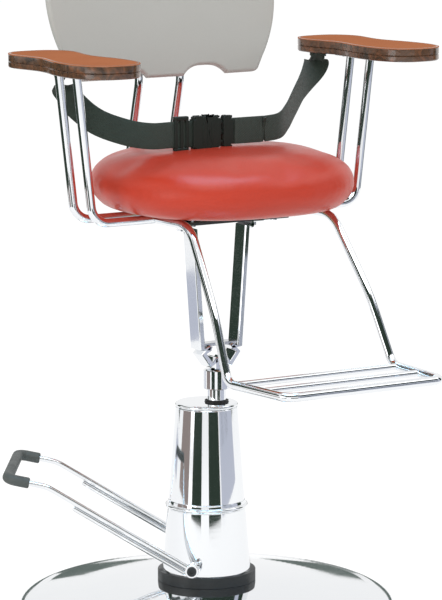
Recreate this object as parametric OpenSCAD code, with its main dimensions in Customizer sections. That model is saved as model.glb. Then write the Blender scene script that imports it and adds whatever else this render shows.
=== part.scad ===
// Child's hydraulic barber chair: pump base, seat, armrests on bent rods, lap belt and footrest.
// The origin is the centre of the base on the floor. +Z is up and the chair faces -Y.

/* [Base] */
// Outer diameter of the round base
base_d = 560; // [500:5:620]
// Height of the base rim above the floor
base_rim_h = 25; // [20:0.5:30]
// Width of the rounded shoulder round the base
base_rim_w = 34; // [26:1:44]
// Rise of the dome from its shoulder to its flat top
base_dome_rise = 19; // [14:1:30]
// Wall of the chromed dome
dome_wall = 3; // [2:0.5:3]
// Thickness of the plate under the base
underplate_t = 3; // [2:0.5:4]
// Thickness of the weight inside the base
weight_t = 10; // [9:0.5:10.5]

/* [Pump casing] */
// Radius of the black pump flange
flange_r = 72.5; // [71:0.5:78]
// Thickness of the pump flange
flange_t = 16; // [14:1:20]
// Lower casing radius at its foot
lower_cover_r = 65.5; // [65:0.5:68]
// Height of the lower casing
lower_cover_h = 93; // [88:1:110]
// Radius where the two casings meet
cover_waist_r = 58; // [57:0.5:60]
// Height of the ring between the casings
cover_ring_h = 12; // [8:1:16]
// Height of the upper casing
upper_cover_h = 139; // [130:1:160]
// Upper casing radius at its top
upper_cover_r = 46; // [45:0.5:49]
// Height of the rounded cap
cap_h = 7; // [5:0.5:10]
// Wall of the chromed casings
cover_wall = 1.5; // [1:0.1:1.8]

/* [Hydraulics] */
// Distance of the ram from the casing's axis, away from the lever
ram_offset = 15; // [14:0.5:15.5]
// Direction in which the foot lever points
lever_angle = 145.5; // [140:0.5:150]
// Radius of the chromed ram
ram_r = 14; // [12:0.5:14]
// How far the seat rises
lift_travel = 130; // [80:5:140]
// Ram left bare between casing and hub at the lowest seat
ram_bare = 20; // [18:1:40]
// Bore radius of the pressure cylinder
cylinder_bore_r = 16; // [15.5:0.1:16.2]
// Wall of the pressure cylinder
cylinder_wall = 3; // [2:0.25:3.5]
// Radius of the small pump plunger
plunger_r = 5; // [4:0.25:5.5]

/* [Foot lever] */
// Distance of the lever shaft from the casing's axis
pivot_reach = 18; // [17.5:0.5:20]
// Height of the lever shaft above the flange
pivot_rise = 16; // [15:0.5:18]
// Half the distance between the two lever arms
lever_half_w = 90; // [88:1:110]
// Radius of the lever's bent bar
lever_bar_r = 4.5; // [3.5:0.25:5.5]
// Radius of the rods under the arms
stiffener_r = 3.5; // [2.5:0.25:4]
// Length of a lever arm from its shaft to its bend
lever_arm_len = 245; // [200:5:280]
// Slope of the arms at rest
lever_slope = 30.4; // [27:0.2:34]
// Length from the bend to the cross bar
lever_end_len = 59; // [50:1:80]
// Slope of the lever past its bend
lever_end_slope = 11; // [6:1:20]
// How far the lever swings down
lever_swing = 24; // [15:1:26]
// Radius of the rubber grip
grip_r = 8; // [6.5:0.5:10]
// Length of the grip along each arm
grip_arm_len = 33; // [28:1:36]
// Reach of the rocker from the shaft to its nose
rocker_len = 24; // [23:0.5:25]

/* [Seat support] */
// Radius of the hub on the ram
hub_r = 20; // [18:0.5:24]
// Height of the hub
hub_h = 29; // [26:1:40]
// Height of the yoke from hub to seat plate
yoke_h = 224; // [200:1:260]
// Thickness of the yoke's flat bars
yoke_bar_t = 9; // [6:0.5:10]
// Depth of the yoke's flat bars
yoke_bar_d = 28; // [24:1:34]
// Half spread of the yoke bars at the bottom
yoke_low_x = 32; // [30:0.5:34]
// Half spread of the yoke bars at the top
yoke_high_x = 46; // [42:0.5:48]
// Thickness of the seat plate
plate_t = 4; // [3:0.5:6]
// Radius of the bent chrome tubes
tube_r = 6.5; // [5.5:0.25:7]

/* [Seat] */
// Width of the cushion
seat_w = 380; // [360:5:390]
// Depth of the cushion
seat_d = 364; // [330:2:370]
// Height of the cushion at its crown
seat_h = 86; // [70:1:100]
// Crown of the cushion above its rounded edge
seat_crown = 9; // [4:1:16]
// Distance of the seat's centre in front of the ram
seat_forward = 14.5; // [10:0.5:20]
// Thickness of the seat board
board_t = 9; // [8:0.5:12]

/* [Armrests] */
// Height of the armrests above the cushion's underside
arm_rise = 231; // [210:1:250]
// Length of an armrest
arm_l = 275; // [270:1:320]
// Greatest width of an armrest
arm_w = 106; // [100:1:116]
// Thickness of an armrest
arm_t = 20; // [18:0.5:24]
// Half spread of the rods at the armrests
arm_rod_x = 252; // [248:0.5:258]
// Outward lean of the rods
arm_rod_lean = 6.8; // [5:0.2:8]
// Distance between the front and rear rod
arm_rod_gap = 51; // [48:1:56]

/* [Back] */
// Width of the back panel at its widest
panel_w = 394; // [360:2:400]
// Height of the back panel
panel_h = 314; // [280:2:340]
// Thickness of the back panel
panel_t = 11; // [9:0.5:14]
// Radius of the back panel's wrap
panel_wrap_r = 1500; // [1000:50:2500]
// Height of the panel's lower edge above the tubes under the seat
panel_rise = 182; // [170:1:200]
// Half the distance between the back posts
post_x = 36; // [33:0.5:44]
// Forward lean of the back posts
post_lean = 14; // [10:0.5:15]
// Backward lean of the back panel
panel_lean = 10; // [4:0.5:14]

/* [Belt] */
// Width of the webbing
belt_w = 38; // [32:1:40]
// Thickness of the webbing
belt_t = 2.5; // [1.8:0.1:2.6]
// How far a buckle prong is squeezed in
prong_travel = 4.5; // [4.4:0.1:5]

/* [Footrest] */
// Height of the footrest above the pump cap
foot_rise = 79; // [60:1:100]
// Half spread of the footrest legs at their foot
foot_half_w = 140; // [132:1:150]
// Distance of the footrest's front bar from the ram
foot_reach = 385; // [350:1:400]
// Distance of the leg feet from the ram
foot_leg_reach = 250; // [235:1:262]
// Radius of the rods across the footrest
foot_rod_r = 5; // [4:0.25:6]

/* [Hidden] */
$fn = 96;

// Fits and overruns
run_fit = 0.05;
seat_fit = 0.02;
gap = 0.3;
hole_gap = 0.1;
cut = 2;
elbow_slim = 0.02;
elbow_lap = 0.4;

// Heights of the base and the pump casing
weight_top_z = underplate_t + weight_t;
base_top_z = base_rim_h + base_dome_rise;
flange_top_z = base_top_z + flange_t;
ring_z = flange_top_z + lower_cover_h;
upper_z = ring_z + cover_ring_h;
cap_z = upper_z + upper_cover_h;
cap_top_z = cap_z + cap_h;
base_r = base_d / 2;

// Heights of the seat group
hub_z = cap_top_z + ram_bare;
hub_top_z = hub_z + hub_h;
plate_z = hub_top_z + yoke_h;
plate_top_z = plate_z + plate_t;
tube_z = plate_top_z + tube_r;
board_z = tube_z + tube_r;
cushion_z = board_z + gap;
arm_top_z = cushion_z + arm_rise;
arm_low_z = arm_top_z - arm_t;

// Base shell
rim_steps = 10;
dome_steps = 20;
dome_flat_w = 3.5;
dome_flat_r = flange_r + dome_flat_w;
underplate_inset = 1;
weight_inset = 24;
boss_r = 55;
boss_gap = 0.3;
bolt_circle_r = 42;
bolt_r = 5;
bolt_head_r = 8;
bolt_head_h = 6;
bolt_len = 27;
bolt_top_z = underplate_t + gap + bolt_head_h + bolt_len;

// Inner pump pieces
cylinder_foot_z = 20;
cylinder_floor_t = 8;
cylinder_gap_top = 10;
piston_h = 25;
seal_h = 6;
seal_depth = 3;
seal_low = 9;
stub_r = 5.4;
stub_h = 14;
washer_t = 2;
ram_seat_depth = 21;
wiper_r = 16.5;
wiper_proud = 3;
reservoir_r = 30.5;
reservoir_wall = 2.5;
reservoir_gap = 16;
reservoir_h = 148;
pivot_z = flange_top_z + pivot_rise;
shaft_r = 6;
ear_in = 40;
ear_t = 10;
ear_r = 11;
ear_bush_r = 8.5;
cover_hole_r = 8;
rocker_half_w = 8;
rocker_hub_r = 10;
rocker_arm_t = 6;
nose_r = 5;
nose_angle = lever_swing / 2;
plunger_u = pivot_reach + rocker_len * cos(nose_angle);
plunger_top_z = pivot_z + rocker_len * sin(nose_angle) - nose_r - gap;
plunger_head_r = 9.5;
plunger_head_t = 4;
plunger_foot_z = 37;
sleeve_r = 9;
sleeve_floor_z = 22;
sleeve_floor_t = 3;
spring_pocket_r = 11;
spring_r = 7.6;
spring_wire_r = 0.9;
spring_turns = 7;
spring_clear = 0.05;

// Lever pieces
lever_hub_r = 10;
lever_hub_w = 12;
lever_bend_r = 60;
lever_corner_r = 14;
lever_kink = [pivot_reach + lever_arm_len * cos(lever_slope), pivot_z + lever_arm_len * sin(lever_slope)];
lever_tip = [lever_kink[0] + lever_end_len * cos(lever_end_slope),
             lever_kink[1] + lever_end_len * sin(lever_end_slope)];
stiffener_share = 0.8;
shaft_half_l = lever_half_w + lever_hub_w / 2;
lever_screw_r = 7;
lever_screw_h = 3.5;
lever_screw_shank_r = 3;
lever_screw_shank_l = 12;
hex_r = 3.6;
hex_depth = 2;

// Yoke, plate and fasteners under the seat
yoke_root_x = 13;
yoke_knee_rise = 29;
yoke_flange_x = 74;
plate_bolt_x = 62;
plate_bolt_r = 4;
plate_bolt_head_r = 6.5;
plate_bolt_head_h = 5.5;
brace_low = 36;
brace_t = 5;
plate_half_w = 90;
plate_front = 55;
plate_rear = 60;
hub_screw_r = 3;
hub_screw_l = 8;
hub_screw_low = 12;
seat_screw_r = 2.5;
seat_screw_head_r = 5;
seat_screw_head_h = 2.5;
seat_screw_grip = 5.5;
seat_screw_spots = [[-70, -45], [70, -45], [-70, 45], [70, 45]];

// Cushion: the plan is a squared oval, with its sides drawn in a little between the corners
seat_square_share = 2.3;
seat_draw_share = 0.008;
seat_edge_share = 0.24;
seat_sides = 48;
seat_edge_steps = 9;
seat_top_shares = [0.6, 0.42, 0.24, 0.1];
board_share = 0.68;
board_gap_share = 0.002;

// Armrests and their rods
hoop_bend_r = 28;
arm_rod_mid_y = -3;
arm_rod_top_z = arm_low_z - tube_r * sin(arm_rod_lean) - gap;
arm_rod_low_x = arm_rod_x - (arm_rod_top_z - tube_z) * tan(arm_rod_lean);
arm_mid_y = -22;
arm_toe = 2;
arm_round = 4;
arm_round_steps = 4;
arm_curve_steps = 4;
bracket_t = 4;
bracket_half_w = 18;
bracket_half_l = 48;
arm_screw_y = 40;
arm_screw_r = 2.5;
arm_screw_head_r = 5;
arm_screw_head_h = 2.5;
arm_screw_grip = 12;
// Half outline from the front end to the rear end: shares of the half width and of the length
arm_side_shares = [[0, 0], [0.42, 0.012], [0.78, 0.07], [0.97, 0.17], [1, 0.28], [0.94, 0.4], [0.81, 0.52],
                   [0.78, 0.61], [0.86, 0.71], [0.96, 0.81], [0.9, 0.9], [0.62, 0.975], [0.25, 1]];

// Back panel and posts
post_bend_r = 32;
post_top_bend_r = 60;
post_start_y = 30;
post_foot_y = 203;
post_top_len = 118;
panel_low_z = tube_z + panel_rise;
panel_post_y = post_foot_y - panel_rise * tan(post_lean);
panel_corner_r = 12;
panel_flare = 35;
panel_wide_h = 125;
panel_top_r = 78;
panel_low_half = 149;
notch_x = 68;
notch_half_w = 37;
notch_h = 14.5;
notch_power_share = 3;
notch_steps = 10;
bracket_plate_t = 3;
bracket_plate_w = 96;
bracket_plate_h = 70;
bracket_plate_low = 36;
back_screw_x = 18;
back_screw_z = 22;
back_screw_r = 3;
back_screw_head_r = 5.5;
back_screw_head_h = 3;
back_screw_grip = 8;

// Belt: the middle lies straight through slider and buckle, and the ends climb to the armrests
belt_y = -22;
belt_lift = 26;
belt_z = cushion_z + seat_h + belt_lift;
belt_anchor_x = 222;
belt_anchor_y = 68;
belt_steps = 4;
belt_turn_share = 0.45;
belt_straight = 8;
anchor_t = 2;
anchor_drop = 6;
anchor_foot = 20;
anchor_screw_r = 2;
anchor_half_w = 12;
buckle_x = -22;
buckle_in = 35;
buckle_out = 34;
buckle_body_l = 47;
buckle_body_t = 13;
buckle_body_h = 51;
buckle_round = 4;
cavity_half_h = 21;
cavity_half_t = 4;
cavity_l = 35;
window_from = 12;
window_l = 16;
strap_slot_l = 7;
strap_slot_gap = 0.35;
tongue_gap = 5;
tongue_base_t = 10;
tongue_base_h = 48;
guide_half_h = 3;
guide_half_t = 2.5;
guide_l = 37;
prong_half_t = 3.5;
prong_rest_gap = 4.5;
prong_low = guide_half_h + prong_travel + prong_rest_gap;
prong_t = 4;
prong_l = 31;
prong_head_l = 12;
slider_x = -75;
slider_half_l = 12;
slider_half_t = 4;
slider_half_h = 26;
slider_bar = 5;
tail_from = 3;
tail_l = 50;
tail_gap = 0.3;

// Footrest
foot_z = cap_top_z + foot_rise;
foot_top_x = 122;
foot_start_y = 35.3;
foot_bend_y = 122;
foot_knee = [133, 203, 94];
foot_front_x = 130;
foot_bend_r = 50;
foot_bow_r = 300;
foot_toe_r = 25;
foot_corner_r = 18;
foot_rod_reaches = [264.5, 324.5];

piston_z = cylinder_foot_z + cylinder_floor_t + gap;
ram_foot_z = piston_z + piston_h + washer_t + hole_gap;

// Vector helpers
function unit(v) = v / norm(v);
function flip(v) = [-v[0], v[1], v[2]];
function backwards(p) = [for (i = [len(p) - 1:-1:0]) p[i]];
function arc(c, r, a0, a1, n) = [for (i = [0:n]) let (a = a0 + (a1 - a0) * i / n) c + r * [cos(a), sin(a)]];

// Smooth curve through points, with n steps between each pair
function blend_point(p, q, r, s, t) =
    0.5 * (2 * q + (r - p) * t + (2 * p - 5 * q + 4 * r - s) * t * t + (3 * q - 3 * r + s - p) * t * t * t);
function open_curve(p, n) = let (m = len(p) - 1) concat(
    [for (i = [0:m - 1]) for (k = [0:n - 1])
        blend_point(p[max(i - 1, 0)], p[i], p[i + 1], p[min(i + 2, m)], k / n)],
    [p[m]]);
function closed_curve(p, n) = let (m = len(p))
    [for (i = [0:m - 1]) for (k = [0:n - 1])
        blend_point(p[(i + m - 1) % m], p[i], p[(i + 1) % m], p[(i + 2) % m], k / n)];

// Outline of a flat bar of thickness t bent along points
function side(d) = [-d[1], d[0]];
function bar_mitre(p, i, t) = let (
    a = unit(p[max(i, 1)] - p[max(i, 1) - 1]),
    b = unit(p[min(i + 1, len(p) - 1)] - p[min(i + 1, len(p) - 1) - 1]),
    m = unit(side(a) + side(b)))
    m * t / 2 / (m * side(a));
function bar_outline(p, t) = concat(
    [for (i = [0:len(p) - 1]) p[i] + bar_mitre(p, i, t)],
    [for (i = [len(p) - 1:-1:0]) p[i] - bar_mitre(p, i, t)]);

// Places
module at_swivel() translate(-ram_offset * [cos(lever_angle), sin(lever_angle), 0]) children();
module at_lever() rotate([0, 0, lever_angle]) children();
module at_back() translate([0, panel_post_y, panel_low_z]) rotate([-panel_lean, 0, 0]) children();
module both_sides() {
    children();
    mirror([1, 0, 0]) children();
}

// Tubes bent along points, with straight runs and round elbows
module rod(a, b, r) {
    d = b - a;
    translate(a) rotate([0, acos(d[2] / norm(d)), atan2(d[1], d[0])]) cylinder(r = r, h = norm(d));
}
function turn(p, i) = acos(unit(p[i] - p[i - 1]) * unit(p[i + 1] - p[i]));
function bend_in(p, i, radii) = (i == 0 || i == len(p) - 1) ? 0 : radii[i - 1] * tan(turn(p, i) / 2);
module elbow(p, i, bend, r) {
    d = unit(p[i] - p[i - 1]);
    n = unit(cross(d, unit(p[i + 1] - p[i])));
    x = cross(d, n);
    start = p[i] - d * bend * tan(turn(p, i) / 2);
    c = start - x * bend;
    multmatrix([[x[0], d[0], n[0], c[0]], [x[1], d[1], n[1], c[1]], [x[2], d[2], n[2], c[2]], [0, 0, 0, 1]])
        rotate_extrude(angle = turn(p, i)) translate([bend, 0]) circle(r = r - elbow_slim);
}
module bent_tube(p, radii, r) {
    for (i = [0:len(p) - 2]) {
        d = unit(p[i + 1] - p[i]);
        lap_a = i == 0 ? 0 : elbow_lap;
        lap_b = i == len(p) - 2 ? 0 : elbow_lap;
        rod(p[i] + d * (bend_in(p, i, radii) - lap_a),
            p[i + 1] - d * (bend_in(p, i + 1, radii) - lap_b), r);
    }
    for (i = [1:len(p) - 2]) elbow(p, i, radii[i - 1], r);
}

// Rounded rectangle, centred
module round_rect(w, h, r) {
    square([w - 2 * r, h], center = true);
    square([w, h - 2 * r], center = true);
    for (x = [-1, 1], y = [-1, 1]) translate([x * (w / 2 - r), y * (h / 2 - r)]) circle(r = r);
}

// Ring with a given bore
module ring(r, bore, h) difference() {
    cylinder(r = r, h = h);
    translate([0, 0, -cut]) cylinder(r = bore, h = h + 2 * cut);
}

// Skin over stacked loops of equal length, closed at both ends
module loft(loops) {
    n = len(loops[0]);
    m = len(loops);
    polyhedron(
        points = [for (l = loops) for (q = l) q],
        faces = concat(
            [[for (i = [n - 1:-1:0]) i]],
            [for (k = [0:m - 2]) for (i = [0:n - 1]) let (j = (i + 1) % n) each
                [[k * n + i, k * n + j, (k + 1) * n + j], [k * n + i, (k + 1) * n + j, (k + 1) * n + i]]],
            [[for (i = [0:n - 1]) (m - 1) * n + i]]));
}

// Base
dome_r = base_r - base_rim_w;
function dome_z(r) = base_rim_h
    + base_dome_rise * (0.5 + 0.5 * cos(180 * (r - dome_flat_r) / (dome_r - dome_flat_r)));
function dome_curve(drop) = [for (i = [0:dome_steps - 1])
    let (r = dome_flat_r + (dome_r - dome_flat_r) * i / dome_steps) [r, dome_z(r) - drop]];

module underplate() color("dimgray") cylinder(r = base_r - underplate_inset, h = underplate_t);

module bolt_spots() at_lever() for (a = [45:90:315])
    rotate([0, 0, a]) translate([bolt_circle_r, 0, 0]) children();

module base_weight() color("darkslategray") difference() {
    translate([0, 0, underplate_t]) cylinder(r = base_r - weight_inset, h = weight_t);
    bolt_spots() {
        translate([0, 0, underplate_t - cut]) cylinder(r = bolt_head_r + gap, h = bolt_head_h + gap + cut);
        cylinder(r = bolt_r + hole_gap, h = weight_top_z + cut);
    }
}

// Shoulder of the base, a quarter of an oval, at a distance inside the outer face
function rim_arc(inset) = [for (i = [0:rim_steps]) let (a = 90 * i / rim_steps) [
    dome_r + (base_rim_w - inset) * sin(a),
    underplate_t + (base_rim_h - underplate_t - inset) * cos(a)]];
module base_disc() color("gainsboro") rotate_extrude($fn = 180) polygon(concat(
    [[boss_r + boss_gap, base_top_z]], dome_curve(0), rim_arc(0),
    backwards(rim_arc(dome_wall)), backwards(dome_curve(dome_wall)),
    [[boss_r + boss_gap, base_top_z - dome_wall]]));

module base_bolts() color("dimgray") bolt_spots() {
    translate([0, 0, underplate_t + gap]) cylinder(r = bolt_head_r, h = bolt_head_h);
    translate([0, 0, underplate_t + gap + bolt_head_h]) cylinder(r = bolt_r, h = bolt_len);
}

// Pump body and casing
module ear() translate([pivot_reach, ear_in, 0]) {
    translate([-ear_r, 0, flange_top_z - cut]) cube([2 * ear_r, ear_t, pivot_rise + cut]);
    translate([0, 0, pivot_z]) rotate([-90, 0, 0]) cylinder(r = ear_r, h = ear_t);
}

module pump_flange() color([0.12, 0.12, 0.12]) difference() {
    union() {
        translate([0, 0, base_top_z]) cylinder(r = flange_r, h = flange_t);
        translate([0, 0, weight_top_z]) cylinder(r = boss_r, h = base_top_z - weight_top_z);
        at_lever() {
            ear();
            mirror([0, 1, 0]) ear();
        }
    }
    at_swivel() translate([0, 0, cylinder_foot_z])
        cylinder(r = cylinder_bore_r + cylinder_wall + seat_fit, h = flange_top_z);
    at_lever() {
        translate([plunger_u, 0, sleeve_floor_z]) cylinder(r = sleeve_r + seat_fit, h = flange_top_z);
        translate([plunger_u, 0, base_top_z]) cylinder(r = spring_pocket_r, h = flange_t + cut);
        translate([pivot_reach, -ear_in - ear_t - cut, pivot_z]) rotate([-90, 0, 0])
            cylinder(r = ear_bush_r + seat_fit, h = 2 * (ear_in + ear_t + cut));
    }
    bolt_spots() translate([0, 0, weight_top_z - cut])
        cylinder(r = bolt_r + seat_fit, h = bolt_top_z + gap - weight_top_z + cut);
}

module cone_shell(low_r, high_r, h) difference() {
    cylinder(r1 = low_r, r2 = high_r, h = h, $fn = 144);
    translate([0, 0, -h])
        cylinder(r1 = 2 * low_r - high_r - cover_wall, r2 = 2 * high_r - low_r - cover_wall,
            h = 3 * h, $fn = 144);
}

module lower_cover() color("gainsboro") difference() {
    translate([0, 0, flange_top_z]) cone_shell(lower_cover_r, cover_waist_r, lower_cover_h);
    at_lever() translate([pivot_reach, -lower_cover_r, pivot_z]) rotate([-90, 0, 0])
        cylinder(r = cover_hole_r, h = 2 * lower_cover_r);
}

module cover_ring() color("silver") translate([0, 0, ring_z]) rotate_extrude($fn = 144) difference() {
    union() {
        translate([cover_waist_r - 2 * cover_wall, 0]) square([2 * cover_wall, cover_ring_h]);
        translate([cover_waist_r, cover_ring_h / 3]) circle(r = cover_ring_h / 4);
    }
    translate([0, -cut]) square([cover_waist_r - 2 * cover_wall, cover_ring_h + 2 * cut]);
}

module upper_cover() color("gainsboro") translate([0, 0, upper_z])
    cone_shell(cover_waist_r - cover_wall, upper_cover_r, upper_cover_h);

module top_cap() color("silver") difference() {
    translate([0, 0, cap_z]) rotate_extrude($fn = 144) {
        square([upper_cover_r - cap_h / 2, cap_h]);
        translate([upper_cover_r - cap_h / 2, cap_h / 2]) circle(r = cap_h / 2);
    }
    at_swivel() translate([0, 0, cap_z - cut]) cylinder(r = wiper_r, h = cap_h + 2 * cut);
}

module ram_wiper() color([0.1, 0.1, 0.1]) at_swivel() translate([0, 0, cap_z])
    ring(wiper_r, ram_r + run_fit, cap_h + wiper_proud);

module pressure_cylinder() color("slategray") at_swivel() difference() {
    translate([0, 0, cylinder_foot_z])
        cylinder(r = cylinder_bore_r + cylinder_wall, h = cap_z - cylinder_gap_top - cylinder_foot_z);
    translate([0, 0, cylinder_foot_z + cylinder_floor_t]) cylinder(r = cylinder_bore_r, h = cap_z);
}

// The bush reaches down to where the piston stops at the highest seat
module guide_bush() color("goldenrod") at_swivel()
    let (low = piston_z + piston_h + washer_t + lift_travel + gap) translate([0, 0, low])
        ring(cylinder_bore_r - seat_fit, ram_r + run_fit, cap_z - cylinder_gap_top - low);

module oil_reservoir() color("dimgray") at_swivel()
    translate([0, 0, pivot_z + reservoir_gap]) difference() {
    cylinder(r = reservoir_r, h = reservoir_h);
    translate([0, 0, reservoir_wall])
        cylinder(r = reservoir_r - reservoir_wall, h = reservoir_h - 2 * reservoir_wall);
    translate([0, 0, -cut])
        cylinder(r = cylinder_bore_r + cylinder_wall + seat_fit, h = reservoir_h + 2 * cut);
}

module plunger_cylinder() color("slategray") at_lever()
    translate([plunger_u, 0, sleeve_floor_z]) difference() {
    cylinder(r = sleeve_r, h = base_top_z - sleeve_floor_z);
    translate([0, 0, sleeve_floor_t]) cylinder(r = plunger_r + run_fit, h = base_top_z);
}

module shaft_bushes() color("goldenrod") at_lever() for (y = [ear_in, -ear_in - ear_t])
    translate([pivot_reach, y, pivot_z]) rotate([-90, 0, 0]) ring(ear_bush_r, shaft_r + run_fit, ear_t);

// Lever group
module at_pivot() at_lever() translate([pivot_reach, 0, pivot_z]) children();
module pivot_shaft() color("silver") at_pivot() rotate([-90, 0, 0]) difference() {
    translate([0, 0, -shaft_half_l]) cylinder(r = shaft_r, h = 2 * shaft_half_l);
    for (z = [0, 1]) mirror([0, 0, z]) translate([0, 0, shaft_half_l - lever_screw_shank_l - gap])
        cylinder(r = lever_screw_shank_r + seat_fit, h = lever_screw_shank_l + cut);
}

module rocker() color("slategray") at_pivot() rotate([0, -nose_angle, 0]) rotate([-90, 0, 0])
    translate([0, 0, -rocker_half_w]) difference() {
        union() {
            cylinder(r = rocker_hub_r, h = 2 * rocker_half_w);
            translate([0, -rocker_arm_t, 0]) cube([rocker_len, rocker_arm_t, 2 * rocker_half_w]);
            translate([rocker_len, 0, 0]) cylinder(r = nose_r, h = 2 * rocker_half_w);
        }
        translate([0, 0, -cut]) cylinder(r = shaft_r + seat_fit, h = 2 * (rocker_half_w + cut));
    }

function lever_point(uz, s) = [uz[0], s * lever_half_w, uz[1]];
lever_root = [pivot_reach, pivot_z];
lever_path = [lever_point(lever_root, -1), lever_point(lever_kink, -1), lever_point(lever_tip, -1),
              lever_point(lever_tip, 1), lever_point(lever_kink, 1), lever_point(lever_root, 1)];
lever_bends = [lever_bend_r, lever_corner_r, lever_corner_r, lever_bend_r];

module hub_clear() for (y = [-1, 1]) translate([pivot_reach, y * lever_half_w - lever_hub_w, pivot_z])
    rotate([-90, 0, 0]) cylinder(r = lever_hub_r, h = 2 * lever_hub_w);

module lever_bar() color("silver") at_lever() difference() {
    bent_tube(lever_path, lever_bends, lever_bar_r);
    hub_clear();
}

module lever_stiffeners() color("silver") at_lever() difference() {
    for (y = [-1, 1]) translate([pivot_reach, y * lever_half_w, pivot_z]) rotate([0, -lever_slope, 0])
        translate([0, 0, -lever_bar_r - stiffener_r]) rotate([0, 90, 0])
            cylinder(r = stiffener_r, h = lever_arm_len * stiffener_share);
    hub_clear();
}

module lever_hubs() color("silver") at_lever() for (y = [-1, 1])
    translate([pivot_reach, y * lever_half_w - lever_hub_w / 2, pivot_z]) rotate([-90, 0, 0])
        ring(lever_hub_r, shaft_r + seat_fit, lever_hub_w);

module lever_screws() color("dimgray") at_pivot() rotate([-90, 0, 0])
    for (z = [0, 1]) mirror([0, 0, z]) translate([0, 0, shaft_half_l]) difference() {
        union() {
            cylinder(r = lever_screw_r, h = lever_screw_h);
            translate([0, 0, -lever_screw_shank_l])
                cylinder(r = lever_screw_shank_r, h = lever_screw_shank_l);
        }
        translate([0, 0, lever_screw_h - hex_depth]) cylinder(r = hex_r, h = hex_depth + cut, $fn = 6);
    }

grip_back = unit(lever_kink - lever_tip);
grip_start = lever_tip + grip_back * grip_arm_len;
grip_path = [lever_point(grip_start, -1), lever_point(lever_tip, -1),
             lever_point(lever_tip, 1), lever_point(grip_start, 1)];

module lever_grip() color([0.15, 0.16, 0.16]) at_lever() difference() {
    bent_tube(grip_path, [lever_corner_r, lever_corner_r], grip_r);
    bent_tube(lever_path, lever_bends, lever_bar_r + seat_fit);
}

// Small pump
module plunger() color("silver") at_lever() translate([plunger_u, 0, 0]) {
    translate([0, 0, plunger_foot_z]) cylinder(r = plunger_r, h = plunger_top_z - plunger_foot_z);
    translate([0, 0, plunger_top_z - plunger_head_t]) cylinder(r = plunger_head_r, h = plunger_head_t);
}

function spring_ring(t) = let (
    low = base_top_z + spring_wire_r + spring_clear,
    high = plunger_top_z - plunger_head_t - spring_wire_r - spring_clear,
    a = 360 * spring_turns * t)
    [for (i = [0:5]) let (o = spring_r + spring_wire_r * cos(60 * i))
        [o * cos(a), o * sin(a), low + (high - low) * t + spring_wire_r * sin(60 * i)]];

function spring_skin(k) = spring_ring(k / (8 * spring_turns));
// Least gap between one curl of the spring and the next, measured on their points
spring_least_gap = min([for (k = [0:8 * spring_turns - 7]) for (m = [7:min(9, 8 * spring_turns - k)])
    for (p = spring_skin(k)) for (q = spring_skin(k + m)) norm(p - q)]);
module plunger_spring() color("silver") at_lever() translate([plunger_u, 0, 0]) {
    echo(str("least gap of the spring to itself: ", spring_least_gap));
    loft([for (k = [0:8 * spring_turns]) [for (i = [5:-1:0]) spring_skin(k)[i]]]);
}

// Lifting piston
module piston_head() color("slategray") at_swivel() translate([0, 0, piston_z]) {
    difference() {
        cylinder(r = cylinder_bore_r - run_fit, h = piston_h);
        translate([0, 0, seal_low]) ring(cylinder_bore_r + cut, cylinder_bore_r - seal_depth, seal_h);
    }
    translate([0, 0, piston_h - cut]) cylinder(r = stub_r, h = stub_h + cut);
}

module piston_seal() color([0.1, 0.1, 0.1]) at_swivel() translate([0, 0, piston_z + seal_low])
    ring(cylinder_bore_r - seat_fit, cylinder_bore_r - seal_depth, seal_h);

module thrust_washer() color("goldenrod") at_swivel() translate([0, 0, piston_z + piston_h])
    ring(ram_r, stub_r + seat_fit, washer_t);

// Ram, hub and yoke
module ram() color("gainsboro") at_swivel() difference() {
    translate([0, 0, ram_foot_z]) cylinder(r = ram_r, h = hub_z + ram_seat_depth - ram_foot_z);
    translate([0, 0, ram_foot_z - cut]) cylinder(r = stub_r + run_fit, h = stub_h + cut);
}

module hub_socket() color("silver") at_swivel() difference() {
    translate([0, 0, hub_z]) cylinder(r = hub_r, h = hub_h);
    translate([0, 0, hub_z - cut]) cylinder(r = ram_r + seat_fit, h = ram_seat_depth + cut);
    translate([0, 0, hub_z + hub_screw_low]) rotate([-90, 0, 0])
        cylinder(r = hub_screw_r + seat_fit, h = 2 * hub_r);
}

module hub_screw() color("dimgray") at_swivel() translate([0, ram_r + gap, hub_z + hub_screw_low])
    rotate([-90, 0, 0]) difference() {
        cylinder(r = hub_screw_r, h = hub_screw_l);
        translate([0, 0, hub_screw_l - hex_depth])
            cylinder(r = hub_screw_r / 2, h = hex_depth + cut, $fn = 6);
    }

yoke_path = [[0, hub_top_z + yoke_bar_t / 2], [yoke_root_x, hub_top_z + yoke_bar_t / 2],
             [yoke_low_x, hub_top_z + yoke_knee_rise], [yoke_high_x, plate_z - yoke_bar_t / 2],
             [yoke_flange_x, plate_z - yoke_bar_t / 2]];

module yoke_bar() difference() {
    rotate([90, 0, 0]) linear_extrude(height = yoke_bar_d, center = true)
        polygon(bar_outline(yoke_path, yoke_bar_t));
    translate([plate_bolt_x, 0, plate_z - yoke_bar_t - cut])
        cylinder(r = plate_bolt_r + hole_gap, h = yoke_bar_t + 2 * cut);
}
module yoke_left() color("silver") at_swivel() mirror([1, 0, 0]) yoke_bar();
module yoke_right() color("silver") at_swivel() yoke_bar();

// Inner face of a yoke bar at height z
yoke_tilt = atan((yoke_high_x - yoke_low_x) / (yoke_path[3][1] - yoke_path[2][1]));
function yoke_inner_x(z) = yoke_low_x + (z - yoke_path[2][1]) * tan(yoke_tilt)
    - yoke_bar_t / 2 / cos(yoke_tilt);

module yoke_brace() color("silver") at_swivel() rotate([90, 0, 0])
    linear_extrude(height = yoke_bar_d - yoke_bar_t, center = true) let (
        a = hub_top_z + brace_low,
        b = a + brace_t)
        polygon([[-yoke_inner_x(a), a], [yoke_inner_x(a), a], [yoke_inner_x(b), b], [-yoke_inner_x(b), b]]);

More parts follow.
